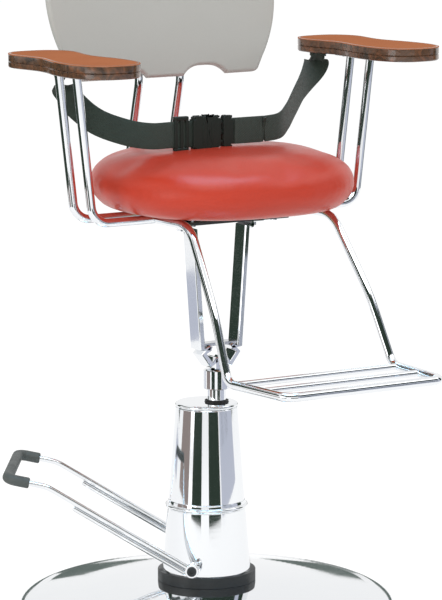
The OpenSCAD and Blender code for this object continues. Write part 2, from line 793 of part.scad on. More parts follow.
module seat_plate() color("dimgray") at_swivel() difference() {
    translate([-plate_half_w, -plate_front, plate_z])
        cube([2 * plate_half_w, plate_front + plate_rear, plate_t]);
    for (s = seat_screw_spots) translate([s[0], s[1], plate_z - cut])
        cylinder(r = seat_screw_r + hole_gap, h = plate_t + 2 * cut);
    for (x = [-1, 1]) translate([x * plate_bolt_x, 0, plate_z - cut])
        cylinder(r = plate_bolt_r + hole_gap, h = plate_t + 2 * cut);
}

module plate_bolts() color("silver") at_swivel() for (x = [-1, 1]) translate([x * plate_bolt_x, 0, 0]) {
    translate([0, 0, plate_z - yoke_bar_t - plate_bolt_head_h])
        cylinder(r = plate_bolt_head_r, h = plate_bolt_head_h, $fn = 6);
    translate([0, 0, plate_z - yoke_bar_t]) cylinder(r = plate_bolt_r, h = yoke_bar_t + plate_t);
    translate([0, 0, plate_top_z]) cylinder(r = plate_bolt_head_r, h = plate_bolt_head_h, $fn = 6);
}

// Seat
function seat_reach(a) = let (c = abs(cos(a)), s = abs(sin(a)), n = seat_square_share)
    (1 - seat_draw_share * (1 + cos(4 * a))) / pow(pow(c * 2 / seat_w, n) + pow(s * 2 / seat_d, n), 1 / n);
function seat_loop(q, z) = [for (i = [0:seat_sides - 1])
    let (a = 360 * i / seat_sides, r = q * seat_reach(a)) [r * cos(a), r * sin(a) - seat_forward, z]];
seat_edge_half_h = (seat_h - seat_crown) / 2;
function seat_edge_q(a) = 1 - seat_edge_share * (1 - cos(a));
function seat_edge_z(a) = cushion_z + seat_edge_half_h + seat_edge_half_h * sin(a);
function seat_lift(q) = seat_crown * (1 - q * q);

function board_outline(q) = [for (p = seat_loop(q, 0)) [p[0], p[1]]];
module seat_board() color("burlywood") at_swivel() difference() {
    translate([0, 0, board_z]) linear_extrude(height = board_t)
        polygon(board_outline(board_share));
    for (s = seat_screw_spots) translate([s[0], s[1], board_z - cut])
        cylinder(r = seat_screw_r + seat_fit, h = seat_screw_grip + gap + cut);
}

module seat_screws() color("silver") at_swivel() for (s = seat_screw_spots) translate([s[0], s[1], 0]) {
    translate([0, 0, plate_z - seat_screw_head_h]) cylinder(r = seat_screw_head_r, h = seat_screw_head_h);
    translate([0, 0, plate_z]) cylinder(r = seat_screw_r, h = board_z + seat_screw_grip - plate_z);
}

module seat_cushion() color([0.79, 0.3, 0.22]) at_swivel() difference() {
    loft(concat(
        [for (k = [0:seat_edge_steps]) let (a = -90 + 90 * k / seat_edge_steps)
            seat_loop(seat_edge_q(a), seat_edge_z(a))],
        [for (k = [1:seat_edge_steps]) let (a = 90 * k / seat_edge_steps, q = seat_edge_q(a))
            seat_loop(q, seat_edge_z(a) + seat_lift(q))],
        [for (q = seat_top_shares) seat_loop(q, seat_edge_z(90) + seat_lift(q))]));
    translate([0, 0, board_z - cut]) linear_extrude(height = board_t + gap + cut)
        polygon(board_outline(board_share + board_gap_share));
}

// Armrests on their rods
module arm_hoop(y) let (
    top = [arm_rod_x, y, arm_rod_top_z],
    low = [arm_rod_low_x, y, tube_z])
    bent_tube([flip(top), flip(low), low, top], [hoop_bend_r, hoop_bend_r], tube_r);
arm_rod_ys = [arm_rod_mid_y - arm_rod_gap / 2, arm_rod_mid_y + arm_rod_gap / 2];
module arm_hoop_front() color("gainsboro") at_swivel() arm_hoop(arm_rod_ys[0]);
module arm_hoop_rear() color("gainsboro") at_swivel() arm_hoop(arm_rod_ys[1]);

module arm_bracket() difference() {
    translate([arm_rod_x, arm_rod_mid_y, arm_low_z - bracket_t]) linear_extrude(height = bracket_t)
        round_rect(2 * bracket_half_w, 2 * bracket_half_l, bracket_half_w / 2);
    for (y = arm_rod_ys) translate([arm_rod_x, y, arm_rod_top_z]) rotate([0, arm_rod_lean, 0])
        translate([0, 0, -4 * bracket_t]) cylinder(r = tube_r + seat_fit, h = 8 * bracket_t);
    for (y = [-1, 1]) translate([arm_rod_x, arm_rod_mid_y + y * arm_screw_y, arm_low_z - bracket_t - cut])
        cylinder(r = arm_screw_r + hole_gap, h = bracket_t + 2 * cut);
}
module arm_bracket_left() color("dimgray") at_swivel() mirror([1, 0, 0]) arm_bracket();
module arm_bracket_right() color("dimgray") at_swivel() arm_bracket();

module arm_screws() color("silver") at_swivel() both_sides() {
    for (y = [-1, 1]) translate([arm_rod_x, arm_rod_mid_y + y * arm_screw_y, arm_low_z - bracket_t]) {
        translate([0, 0, -arm_screw_head_h]) cylinder(r = arm_screw_head_r, h = arm_screw_head_h);
        cylinder(r = arm_screw_r, h = bracket_t + arm_screw_grip);
    }
    translate([anchor_screw_x, belt_anchor_y, arm_low_z - anchor_t]) {
        translate([0, 0, -arm_screw_head_h]) cylinder(r = 2 * anchor_screw_r, h = arm_screw_head_h);
        cylinder(r = anchor_screw_r, h = anchor_t + arm_screw_grip);
    }
}

// The armrests' rear ends are turned inwards
function arm_point(s, dir, inset) = let (
    u = dir * s[0] * (arm_w / 2 - inset),
    v = (s[1] - 0.5) * (arm_l - 2 * inset))
    [arm_rod_x + u * cos(arm_toe) - v * sin(arm_toe), arm_mid_y + u * sin(arm_toe) + v * cos(arm_toe)];
function arm_outline(inset) = let (m = len(arm_side_shares)) closed_curve(concat(
    [for (s = arm_side_shares) arm_point(s, 1, inset)],
    [for (i = [m - 1:-1:1]) arm_point(arm_side_shares[i], -1, inset)]), arm_curve_steps);
function arm_loop(inset, z) = [for (p = arm_outline(inset)) [p[0], p[1], z]];

module armrest() difference() {
    loft(concat(
        [for (k = [0:arm_round_steps]) let (a = 90 * k / arm_round_steps)
            arm_loop(arm_round * (1 - sin(a)), arm_low_z + arm_round * (1 - cos(a)))],
        [for (k = [0:arm_round_steps]) let (a = 90 * k / arm_round_steps)
            arm_loop(arm_round * (1 - cos(a)), arm_top_z - arm_round * (1 - sin(a)))]));
    for (y = [-1, 1]) translate([arm_rod_x, arm_rod_mid_y + y * arm_screw_y, arm_low_z - cut])
        cylinder(r = arm_screw_r + seat_fit, h = arm_screw_grip + gap + cut);
    translate([anchor_screw_x, belt_anchor_y, arm_low_z - cut])
        cylinder(r = anchor_screw_r + seat_fit, h = arm_screw_grip + gap + cut);
}
module armrest_left() color([0.7, 0.44, 0.3]) at_swivel() mirror([1, 0, 0]) armrest();
module armrest_right() color([0.7, 0.44, 0.3]) at_swivel() armrest();

// Back panel on its posts
post_knee = [post_x, panel_post_y, panel_low_z];
post_top = post_knee + post_top_len * [0, sin(panel_lean), cos(panel_lean)];
module back_post() bent_tube(
    [[post_x, post_start_y, tube_z], [post_x, post_foot_y, tube_z], post_knee, post_top],
    [post_bend_r, post_top_bend_r], tube_r);
module back_posts() color("gainsboro") at_swivel() both_sides() back_post();

panel_rear_y = -tube_r - bracket_plate_t;
module wrap_cylinder(r) translate([0, panel_rear_y - panel_wrap_r, -panel_h])
    cylinder(r = r, h = 3 * panel_h, $fn = 720);

module back_bracket() color("dimgray") at_swivel() at_back() difference() {
    translate([-bracket_plate_w / 2, panel_rear_y - panel_t, bracket_plate_low])
        cube([bracket_plate_w, bracket_plate_t + panel_t, bracket_plate_h]);
    wrap_cylinder(panel_wrap_r + hole_gap);
    back_screw_spots() cylinder(r = back_screw_r + hole_gap, h = 2 * panel_t, center = true);
}
module back_screw_spots() for (x = [-1, 1], z = [-1, 1])
    translate([x * back_screw_x, -tube_r, bracket_plate_low + bracket_plate_h / 2 + z * back_screw_z])
        rotate([90, 0, 0]) children();

module back_screws() color("silver") at_swivel() at_back() back_screw_spots() {
    translate([0, 0, -back_screw_head_h]) cylinder(r = back_screw_head_r, h = back_screw_head_h);
    cylinder(r = back_screw_r, h = bracket_plate_t + back_screw_grip);
}

function notch(dir) = [for (i = [0:notch_steps]) let (t = dir * (1 - 2 * i / notch_steps))
    [dir * notch_x + notch_half_w * t, notch_h * (1 - pow(abs(t), notch_power_share))]];
// The sides open out from the lower corners to the full width
panel_side_r = (panel_wide_h - panel_corner_r) / sin(panel_flare);
panel_half = concat(
    arc([panel_low_half, panel_corner_r], panel_corner_r, -90, -panel_flare, 6),
    arc([panel_w / 2 - panel_side_r, panel_wide_h], panel_side_r, -panel_flare, 0, 10),
    arc([panel_w / 2 - panel_top_r, panel_h - panel_top_r], panel_top_r, 0, 90, 16));
panel_outline = concat(notch(-1), backwards(notch(1)), panel_half,
    backwards([for (p = panel_half) [-p[0], p[1]]]));

module back_panel() color([0.73, 0.73, 0.71]) at_swivel() at_back() difference() {
    intersection() {
        rotate([90, 0, 0]) linear_extrude(height = panel_w) polygon(panel_outline);
        difference() {
            wrap_cylinder(panel_wrap_r);
            wrap_cylinder(panel_wrap_r - panel_t);
        }
    }
    back_screw_spots() cylinder(r = back_screw_r + seat_fit, h = bracket_plate_t + back_screw_grip + gap);
}

// Belt: a thin band whose width runs from front to back at the armrest and stands upright in the middle
anchor_x = belt_anchor_x + belt_t / 2 + tail_gap;
anchor_screw_x = anchor_x + anchor_t + anchor_foot / 2;
function band_ring(p, i, w, t) = let (
    a = unit(p[min(i + 1, len(p) - 1)] - p[max(i - 1, 0)]),
    s = min(1, i / len(p) / belt_turn_share),
    w0 = [0, 1 - s, s],
    b = unit(w0 - a * (w0 * a)),
    c = cross(a, b))
    [for (k = [[-1, -1], [1, -1], [1, 1], [-1, 1]]) p[i] + k[0] * b * w / 2 + k[1] * c * t / 2];
module band(p, w, t) loft([for (i = [0:len(p) - 1]) band_ring(p, i, w, t)]);

belt_top_z = arm_low_z - anchor_t - gap;
belt_left_shares = [[1, 1, 1], [1, 1, 0.94], [1, 1, 0.88], [0.995, 0.9, 0.7], [0.965, 0.72, 0.48],
                    [0.86, 0.46, 0.22], [0.7, 0.2, 0.06], [0.56, 0.04, 0]];
belt_right_shares = [[1, 1, 1], [1, 1, 0.94], [1, 1, 0.88], [0.955, 0.93, 0.78], [0.87, 0.8, 0.65],
                     [0.76, 0.61, 0.49], [0.65, 0.41, 0.3], [0.54, 0.2, 0.13], [0.44, 0.05, 0.025]];
function belt_climb(shares) = [for (s = shares) [
    s[0] * belt_anchor_x,
    belt_y + s[1] * (belt_anchor_y - belt_y),
    belt_z + s[2] * (belt_top_z - belt_z)]];
buckle_low_x = buckle_x - buckle_in;
buckle_high_x = buckle_x + buckle_out;
belt_left_route = concat([for (q = belt_climb(belt_left_shares)) flip(q)],
    [[slider_x - slider_half_l - belt_straight, belt_y, belt_z], [slider_x - slider_half_l, belt_y, belt_z],
     [buckle_low_x + strap_slot_l - gap, belt_y, belt_z]]);
belt_right_route = concat(belt_climb(belt_right_shares),
    [[buckle_high_x + tail_l + belt_straight, belt_y, belt_z], [buckle_high_x + tail_l, belt_y, belt_z],
     [buckle_high_x - strap_slot_l + gap, belt_y, belt_z]]);

module belt_left() color([0.2, 0.25, 0.22]) at_swivel()
    band(open_curve(belt_left_route, belt_steps), belt_w, belt_t);
module belt_right() color([0.2, 0.25, 0.22]) at_swivel()
    band(open_curve(belt_right_route, belt_steps), belt_w, belt_t);
module belt_tail() color([0.2, 0.25, 0.22]) at_swivel()
    translate([buckle_high_x + tail_from, belt_y - belt_t * 1.5 - tail_gap, belt_z - belt_w / 2])
        cube([tail_l - tail_from, belt_t, belt_w]);

module belt_anchors() color("dimgray") at_swivel() both_sides() difference() {
    union() {
        translate([anchor_x, belt_anchor_y - belt_w / 2, arm_low_z - anchor_drop])
            cube([anchor_t, belt_w, anchor_drop]);
        translate([anchor_x, belt_anchor_y - anchor_half_w, arm_low_z - anchor_t])
            cube([anchor_t + anchor_foot, 2 * anchor_half_w, anchor_t]);
    }
    translate([anchor_screw_x, belt_anchor_y, arm_low_z - anchor_t - cut])
        cylinder(r = anchor_screw_r + hole_gap, h = anchor_t + 2 * cut);
}

module strap_hole(l) cube([l, belt_t + 2 * strap_slot_gap, belt_w + 2 * strap_slot_gap], center = true);

module slider_place() at_swivel() translate([slider_x, belt_y, belt_z]) children();
module belt_slider() color([0.16, 0.18, 0.17]) slider_place() difference() {
    upright_slab(2 * slider_half_l, 2 * slider_half_h, 2 * slider_half_t);
    strap_hole(4 * slider_half_l);
    for (x = [-1, 1]) translate([x * (slider_half_l + slider_bar / 2) / 2, -slider_half_t, 0])
        cube([slider_half_l - 1.5 * slider_bar, 2 * slider_half_t, belt_w], center = true);
}

module buckle_place() at_swivel() translate([buckle_low_x, belt_y, belt_z]) children();

module upright_slab(w, h, t) rotate([90, 0, 0]) linear_extrude(height = t, center = true)
    round_rect(w, h, buckle_round);
module buckle_body() color([0.16, 0.18, 0.17]) buckle_place() difference() {
    translate([buckle_body_l / 2, 0, 0]) upright_slab(buckle_body_l, buckle_body_h, buckle_body_t);
    translate([buckle_body_l - cavity_l, -cavity_half_t, -cavity_half_h])
        cube([cavity_l + cut, 2 * cavity_half_t, 2 * cavity_half_h]);
    translate([buckle_body_l - window_from - window_l, -cavity_half_t, -buckle_body_h])
        cube([window_l, 2 * cavity_half_t, 2 * buckle_body_h]);
    strap_hole(2 * strap_slot_l);
}

tongue_x = buckle_body_l + tongue_gap;
module buckle_tongue() color([0.16, 0.18, 0.17]) buckle_place() difference() {
    union() {
        translate([(buckle_in + buckle_out + tongue_x) / 2, 0, 0])
            upright_slab(buckle_in + buckle_out - tongue_x, tongue_base_h, tongue_base_t);
        translate([tongue_x - guide_l, -guide_half_t, -guide_half_h])
            cube([guide_l + buckle_round, 2 * guide_half_t, 2 * guide_half_h]);
    }
    translate([buckle_in + buckle_out, 0, 0]) strap_hole(2 * strap_slot_l);
}

module prong() buckle_place() {
    translate([tongue_x - gap - prong_l, -prong_half_t, prong_low])
        cube([prong_l, 2 * prong_half_t, prong_t]);
    translate([tongue_x - gap - prong_l, -prong_half_t, prong_low])
        cube([prong_head_l, 2 * prong_half_t, buckle_body_h / 2 - gap - prong_low]);
}
module prong_upper() color([0.16, 0.18, 0.17]) prong();
module prong_lower() color([0.16, 0.18, 0.17]) translate([0, 0, 2 * belt_z]) mirror([0, 0, 1]) prong();

// Footrest
foot_leg = [[foot_top_x, -foot_start_y, tube_z], [foot_top_x, -foot_bend_y, tube_z],
            [foot_knee[0], -foot_knee[1], foot_z + foot_knee[2]], [foot_half_w, -foot_leg_reach, foot_z],
            [foot_front_x, -foot_reach, foot_z]];
foot_path = concat(foot_leg, [for (p = backwards(foot_leg)) flip(p)]);
foot_leg_bends = [foot_bend_r, foot_bow_r, foot_toe_r, foot_corner_r];
foot_bends = concat(foot_leg_bends, backwards(foot_leg_bends));

module footrest_frame() color("gainsboro") at_swivel() bent_tube(foot_path, foot_bends, tube_r);

module footrest_rods() color("gainsboro") at_swivel() difference() {
    for (y = foot_rod_reaches) translate([0, -y, foot_z]) rotate([0, 90, 0])
        cylinder(r = foot_rod_r, h = foot_half_w + foot_front_x, center = true);
    both_sides() rod(foot_leg[3], foot_leg[4], tube_r);
}

underplate();
base_weight();
base_disc();
base_bolts();
pump_flange();
lower_cover();
cover_ring();
upper_cover();
top_cap();
ram_wiper();
pressure_cylinder();
guide_bush();
oil_reservoir();
plunger_cylinder();
shaft_bushes();
pivot_shaft();
rocker();
lever_bar();
lever_stiffeners();
lever_hubs();
lever_screws();
lever_grip();
plunger();
plunger_spring();
piston_head();
piston_seal();
thrust_washer();
ram();
hub_socket();
hub_screw();
yoke_left();
yoke_right();
yoke_brace();
seat_plate();
plate_bolts();
seat_board();
seat_screws();
seat_cushion();
arm_hoop_front();
arm_hoop_rear();
arm_bracket_left();
arm_bracket_right();
arm_screws();
armrest_left();
armrest_right();
back_posts();
back_bracket();
back_screws();
back_panel();
belt_left();
belt_right();
belt_tail();
belt_anchors();
belt_slider();
buckle_body();
buckle_tongue();
prong_upper();
prong_lower();
footrest_frame();
footrest_rods();
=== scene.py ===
"""Child's barber chair: materials, soft goods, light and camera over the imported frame."""
import math

import bmesh
import bpy
import numpy as np
from mathutils import Matrix, Vector


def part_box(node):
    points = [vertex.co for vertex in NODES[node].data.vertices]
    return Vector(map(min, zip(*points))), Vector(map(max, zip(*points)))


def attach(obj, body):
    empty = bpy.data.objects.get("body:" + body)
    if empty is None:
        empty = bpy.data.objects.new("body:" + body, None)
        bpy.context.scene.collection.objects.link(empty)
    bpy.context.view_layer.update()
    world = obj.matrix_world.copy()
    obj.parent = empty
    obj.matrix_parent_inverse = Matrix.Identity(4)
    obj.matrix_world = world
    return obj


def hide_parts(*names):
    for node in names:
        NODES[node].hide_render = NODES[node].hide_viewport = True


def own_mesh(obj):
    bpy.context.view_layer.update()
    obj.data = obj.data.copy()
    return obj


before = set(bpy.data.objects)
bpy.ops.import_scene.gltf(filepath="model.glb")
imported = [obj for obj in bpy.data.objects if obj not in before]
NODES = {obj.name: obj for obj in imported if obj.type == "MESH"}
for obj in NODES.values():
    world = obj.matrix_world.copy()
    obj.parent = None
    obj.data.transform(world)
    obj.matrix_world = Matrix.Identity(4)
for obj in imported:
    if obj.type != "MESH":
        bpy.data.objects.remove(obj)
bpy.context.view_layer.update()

MM = 0.001


# Places shared with the solids, in millimetres
SWIVEL = Vector((12.362, -8.496, 0.0))
SWIVEL_XY = (SWIVEL.x, SWIVEL.y)
LEVER_TURN = Matrix.Rotation(math.radians(145.5), 4, "Z")
PIVOT_U, PIVOT_Z = 18.0, 76.0
TUBE_R, TUBE_Z = 6.5, 594.5
CUSHION_Z, SEAT_H, CROWN = 601.3, 86.0, 9.0
SEAT_W, SEAT_D, SEAT_FORWARD = 380.0, 364.0, 14.5
ARM_LOW, ARM_TOP = 812.3, 832.3
BELT_Y, BELT_Z, BELT_W = -22.0, 713.3, 38.0


def at_swivel(p):
    return Vector(p) + SWIVEL


def at_lever(p):
    return LEVER_TURN @ Vector(p)


def srgb(r, g, b):
    """A picture colour from 0 to 255 as linear light."""
    shares = (c / 255 for c in (r, g, b))
    return (*(c / 12.92 if c <= 0.04045 else ((c + 0.055) / 1.055) ** 2.4 for c in shares), 1.0)

# ---- shader helpers


def feed(tree, socket, value):
    """Sets a socket, or links it to another node's output."""
    if isinstance(value, bpy.types.NodeSocket):
        tree.links.new(value, socket)
    else:
        socket.default_value = value


def dial(tree, sockets, **values):
    """Feeds sockets by name, an underscore for each space."""
    for key, value in values.items():
        feed(tree, sockets[key.replace("_", " ")], value)


def add_node(tree, kind, **values):
    n = tree.nodes.new(kind)
    dial(tree, n.inputs, **values)
    return n


def math_node(tree, op, a, b=None, clamp=False):
    n = tree.nodes.new("ShaderNodeMath")
    n.operation, n.use_clamp = op, clamp
    for socket, value in zip(n.inputs, (a, b)):
        if value is not None:
            feed(tree, socket, value)
    return n.outputs[0]


def times(tree, a, b, clamp=False):
    return math_node(tree, "MULTIPLY", a, b, clamp)


def plus(tree, a, b):
    return math_node(tree, "ADD", a, b)


def minus(tree, a, b):
    return math_node(tree, "SUBTRACT", a, b)


def mix_colour(tree, share, a, b):
    n = tree.nodes.new("ShaderNodeMix")
    n.data_type = "RGBA"
    for i, value in ((0, share), (6, a), (7, b)):
        feed(tree, n.inputs[i], value)
    return n.outputs[2]


def ramp(tree, source, stops):
    """Colour ramp over source; stops are (place, colour)."""
    n = tree.nodes.new("ShaderNodeValToRGB")
    marks = n.color_ramp.elements
    marks[0].position, marks[0].color = stops[0]
    marks[1].position, marks[1].color = stops[-1]
    for place, colour in stops[1:-1]:
        marks.new(place).color = colour
    feed(tree, n.inputs[0], source)
    return n.outputs["Color"]


def object_coords(tree):
    return tree.nodes.new("ShaderNodeTexCoord").outputs["Object"]


def stretched(tree, scale):
    """Object coordinates with a scale of their own along each axis."""
    return add_node(tree, "ShaderNodeMapping", Vector=object_coords(tree), Scale=scale).outputs["Vector"]


def noise(tree, coords, scale, detail, rough=0.55, distortion=0.0):
    return add_node(tree, "ShaderNodeTexNoise", Vector=coords, Scale=scale, Detail=detail, Roughness=rough,
                    Distortion=distortion).outputs["Fac"]


def bump(tree, height, strength, distance):
    return add_node(tree, "ShaderNodeBump", Height=height, Strength=strength,
                    Distance=distance).outputs["Normal"]


def new_group(name, inputs, output, kind):
    """A shader group from its inputs' default values and one named output."""
    g = bpy.data.node_groups.new(name, "ShaderNodeTree")
    for label, value in inputs.items():
        sort = "NodeSocketColor" if isinstance(value, tuple) else "NodeSocketFloat"
        g.interface.new_socket(label, in_out="INPUT", socket_type=sort).default_value = value
    g.interface.new_socket(output, in_out="OUTPUT", socket_type=kind)
    return g, g.nodes.new("NodeGroupInput").outputs, g.nodes.new("NodeGroupOutput").inputs[output]


def mottle_group():
    """Slow colour drift and a finer speckle between two colours."""
    g, given, result = new_group(
        "colour drift", {"Main": (0.5, 0.5, 0.5, 1), "Drift": (0.4, 0.4, 0.4, 1), "Scale": 8.0, "Amount": 0.5},
        "Colour", "NodeSocketColor")
    co = object_coords(g)
    both = plus(g, times(g, noise(g, co, given["Scale"], 5.0), 0.8), times(g, noise(g, co, 420.0, 2.0), 0.2))
    mask = times(g, minus(g, both, 0.3), 2.2, clamp=True)
    share = times(g, mask, given["Amount"], clamp=True)
    feed(g, result, mix_colour(g, share, given["Main"], given["Drift"]))
    return g


def relief_group():
    """Bump from noise: slow waves and fine grain."""
    g, given, result = new_group(
        "surface relief",
        {"Wave scale": 20.0, "Wave height": 0.0002, "Grain scale": 900.0, "Grain height": 0.00002},
        "Normal", "NodeSocketVector")
    co = object_coords(g)
    wave = times(g, noise(g, co, given["Wave scale"], 2.0), given["Wave height"])
    grain = times(g, noise(g, co, given["Grain scale"], 3.0), given["Grain height"])
    feed(g, result, bump(g, plus(g, wave, grain), 1.0, 1.0))
    return g


def wipe_group():
    """Wiped and fingered surface: roughness that drifts between two values."""
    g, given, result = new_group("wipe marks", {"Clean": 0.05, "Hazy": 0.14, "Scale": 6.0},
                                 "Roughness", "NodeSocketFloat")
    cloud = noise(g, object_coords(g), given["Scale"], 6.0, 0.6, 0.6)
    lines = noise(g, stretched(g, (40.0, 40.0, 260.0)), 1.0, 3.0)
    both = plus(g, times(g, cloud, 0.75), times(g, lines, 0.25))
    marks = times(g, minus(g, both, 0.42), 5.0, clamp=True)
    span = minus(g, given["Hazy"], given["Clean"])
    feed(g, result, plus(g, given["Clean"], times(g, span, marks)))
    return g


MOTTLE, RELIEF, WIPE = mottle_group(), relief_group(), wipe_group()


def use_group(tree, group, **values):
    n = tree.nodes.new("ShaderNodeGroup")
    n.node_tree = group
    dial(tree, n.inputs, **values)
    return n.outputs[0]


def relief(tree, wave, grain):
    """Relief from the (scale, height) of its waves and of its grain."""
    return use_group(tree, RELIEF, Wave_scale=wave[0], Wave_height=wave[1], Grain_scale=grain[0],
                     Grain_height=grain[1])


def blank_tree(owner, output="ShaderNodeOutputMaterial"):
    """An emptied node tree and the surface socket of its output."""
    owner.use_nodes = True
    tree = owner.node_tree
    tree.nodes.clear()
    return tree, tree.nodes.new(output).inputs["Surface"]


def material(name):
    m = bpy.data.materials.new(name)
    tree, surface = blank_tree(m)
    shader = tree.nodes.new("ShaderNodeBsdfPrincipled")
    feed(tree, surface, shader.outputs[0])
    return m, tree, shader.inputs


def drift_material(name, main, drift, clean, hazy, scale, wave, grain, metal=0.0, amount=0.5, shine=0.5):
    """Two close colours with wipe marks and relief."""
    m, tree, s = material(name)
    dial(tree, s, Normal=relief(tree, wave, grain), Metallic=metal, Specular_IOR_Level=shine,
         Base_Color=use_group(tree, MOTTLE, Main=srgb(*main), Drift=srgb(*drift), Scale=scale, Amount=amount),
         Roughness=use_group(tree, WIPE, Clean=clean, Hazy=hazy, Scale=scale))
    return m


def weave_height(tree, across, along):
    """Height of a plain webbing weave on UV laid out in metres: slanted ribs in two directions."""
    uv = tree.nodes.new("ShaderNodeTexCoord").outputs["UV"]
    u, v, _ = add_node(tree, "ShaderNodeSeparateXYZ", Vector=uv).outputs
    length, width = times(tree, u, along), times(tree, v, across)
    ribs = [math_node(tree, "SINE", slant(tree, length, width)) for slant in (plus, minus)]
    return math_node(tree, "MAXIMUM", *ribs)


def webbing_material():
    m, tree, s = material("belt webbing")
    weave = weave_height(tree, 2600.0, 1500.0)
    # painted shade: the low parts of the weave are mixed towards a near-black green
    painted_weave_shade = times(tree, plus(tree, weave, 1.2), 0.45, clamp=True)
    threads = use_group(tree, MOTTLE, Main=srgb(48, 66, 52), Drift=srgb(36, 50, 40), Scale=30.0, Amount=0.6)
    dial(tree, s, Base_Color=mix_colour(tree, painted_weave_shade, srgb(20, 28, 22), threads), Roughness=0.72,
         Sheen_Weight=0.25, Sheen_Roughness=0.5, Normal=bump(tree, weave, 0.55, 0.0004))
    return m


def vinyl_material():
    """Red upholstery vinyl with a fine pebbled grain, painted shade in the grain's grooves, and broad soft
    gloss.
    """
    m, tree, s = material("red upholstery vinyl")
    red = use_group(tree, MOTTLE, Main=srgb(208, 66, 42), Drift=srgb(198, 58, 38), Scale=7.0, Amount=0.45)
    co = object_coords(tree)
    cells = add_node(tree, "ShaderNodeTexVoronoi", Vector=co, Scale=900.0, Randomness=0.9)
    cells.feature = "DISTANCE_TO_EDGE"
    pits = math_node(tree, "MINIMUM", times(tree, cells.outputs["Distance"], 4.0), 1.0)
    # painted shade: the grooves between the grain's pebbles are mixed towards a darker red
    groove_painted_shade = times(tree, minus(tree, 1.0, pits), 0.35)
    height = plus(tree, times(tree, pits, 0.00006), times(tree, noise(tree, co, 26.0, 3.0), 0.0009))
    dial(tree, s, Base_Color=mix_colour(tree, groove_painted_shade, red, srgb(140, 40, 32)), Specular_IOR_Level=0.35,
         Roughness=use_group(tree, WIPE, Clean=0.3, Hazy=0.38, Scale=9.0), Normal=bump(tree, height, 0.6, 1.0))
    return m


def edge_material():
    """Glossy moulded armrest edge in mottled dark brown."""
    m, tree, s = material("armrest moulded edge")
    patches = noise(tree, object_coords(tree), 55.0, 5.0, 0.65, 1.2)
    browns = [(0.3, srgb(52, 42, 34)), (0.5, srgb(92, 66, 48)), (0.7, srgb(128, 84, 58))]
    dial(tree, s, Base_Color=ramp(tree, patches, browns), Coat_Weight=0.4, Coat_Roughness=0.08,
         Roughness=use_group(tree, WIPE, Clean=0.14, Hazy=0.26, Scale=20.0),
         Normal=relief(tree, (60.0, 0.0006), (700.0, 0.00001)))
    return m


def plywood_material():
    """Pale wood with thin flat layers."""
    m, tree, s = material("plywood")
    layers = noise(tree, stretched(tree, (9.0, 70.0, 900.0)), 1.0, 5.0, 0.6, 0.4)
    dial(tree, s, Base_Color=ramp(tree, layers, [(0.3, srgb(150, 112, 72)), (0.7, srgb(206, 170, 122))]),
         Roughness=0.62, Normal=relief(tree, (30.0, 0.0001), (500.0, 0.00004)))
    return m


SMOOTH = (20, 0.0)
# For each slot: name, main and drift colour, clean and hazy roughness, scale of the drift, (scale, height) of
# waves and of grain, then metal, amount of the drift and shine where they aren't the usual ones
FINISHES = {
    "chrome": ("chrome plate", (236, 238, 240), (226, 229, 233), 0.035, 0.09, 7, (9, 4e-5), (600, 8e-7), 1.0),
    "bright_steel": ("bright steel", (205, 207, 210), (180, 183, 188), 0.18, 0.3, 30, (30, 4e-5), (1200, 4e-6),
                     1.0),
    "plain_steel": ("plain steel", (150, 152, 154), (120, 121, 124), 0.34, 0.5, 40, SMOOTH, (1500, 1e-5), 1.0),
    "bronze": ("bronze", (176, 130, 74), (140, 98, 52), 0.3, 0.45, 40, SMOOTH, (900, 2e-5), 1.0),
    "dark_paint": ("dark paint", (42, 44, 45), (28, 30, 31), 0.42, 0.546, 25, (60, 1e-4), (1400, 2e-5)),
    "black_casting": ("black casting", (38, 40, 40), (22, 24, 24), 0.36, 0.55, 30, (120, 2.5e-4), (1500, 6e-5)),
    "cast_weight": ("cast weight", (70, 70, 68), (52, 50, 48), 0.7, 0.91, 30, (90, 4e-4), (900, 1e-4)),
    "seal_rubber": ("seal rubber", (34, 34, 35), (24, 24, 25), 0.6, 0.78, 40, SMOOTH, (1200, 3e-5)),
    "grip_rubber": ("grip rubber", (84, 90, 88), (60, 66, 64), 0.52, 0.64, 40, (160, 1e-4), (1600, 4e-5)),
    "grey_vinyl": ("grey panel plastic", (186, 187, 182), (176, 177, 172), 0.42, 0.52, 5, (10, 2e-4),
                   (1300, 3e-5), 0.0, 0.6),
    "arm_board": ("brown laminate", (184, 118, 83), (172, 106, 74), 0.7, 0.8, 14, SMOOTH, (1100, 3e-5),
                  0.0, 0.6, 0.0),
    "buckle_plastic": ("buckle plastic", (34, 42, 36), (24, 31, 26), 0.4, 0.5, 60, (200, 5e-5), (1400, 3e-5),
                       0.0, 0.5, 0.3)}
SLOT_MATERIALS = {slot: drift_material(*row) for slot, row in FINISHES.items()}
CHROME, BRIGHT, VINYL = SLOT_MATERIALS["chrome"], SLOT_MATERIALS["bright_steel"], vinyl_material()
SLOT_MATERIALS.update(plywood=plywood_material(), red_vinyl=VINYL, webbing=webbing_material())
ARM_EDGE = edge_material()
THREAD = drift_material("belt thread", (70, 80, 70), (50, 60, 52), 0.8, 1.04, 300, SMOOTH, (900, 2e-5))

for cad in NODES.values():
    for place in cad.material_slots:
        place.material = SLOT_MATERIALS[place.material.name.split(".")[0]]

# ---- mesh helpers: outlines and stations are in millimetres


def wire(bm, points, closed=True):
    """Edges through points, closed into a ring unless told otherwise."""
    verts = [bm.verts.new(p) for p in points]
    ends = verts[1:] + verts[:1] if closed else verts[1:]
    return verts, [bm.edges.new(pair) for pair in zip(verts, ends)]


def circle(bm, radius, sides, place):
    """An open ring of edges."""
    verts = bmesh.ops.create_circle(bm, cap_ends=False, segments=sides, radius=radius, matrix=place)["verts"]
    return verts, list({e for v in verts for e in v.link_edges})


def moved(x, y, z):
    return Matrix.Translation((x, y, z))


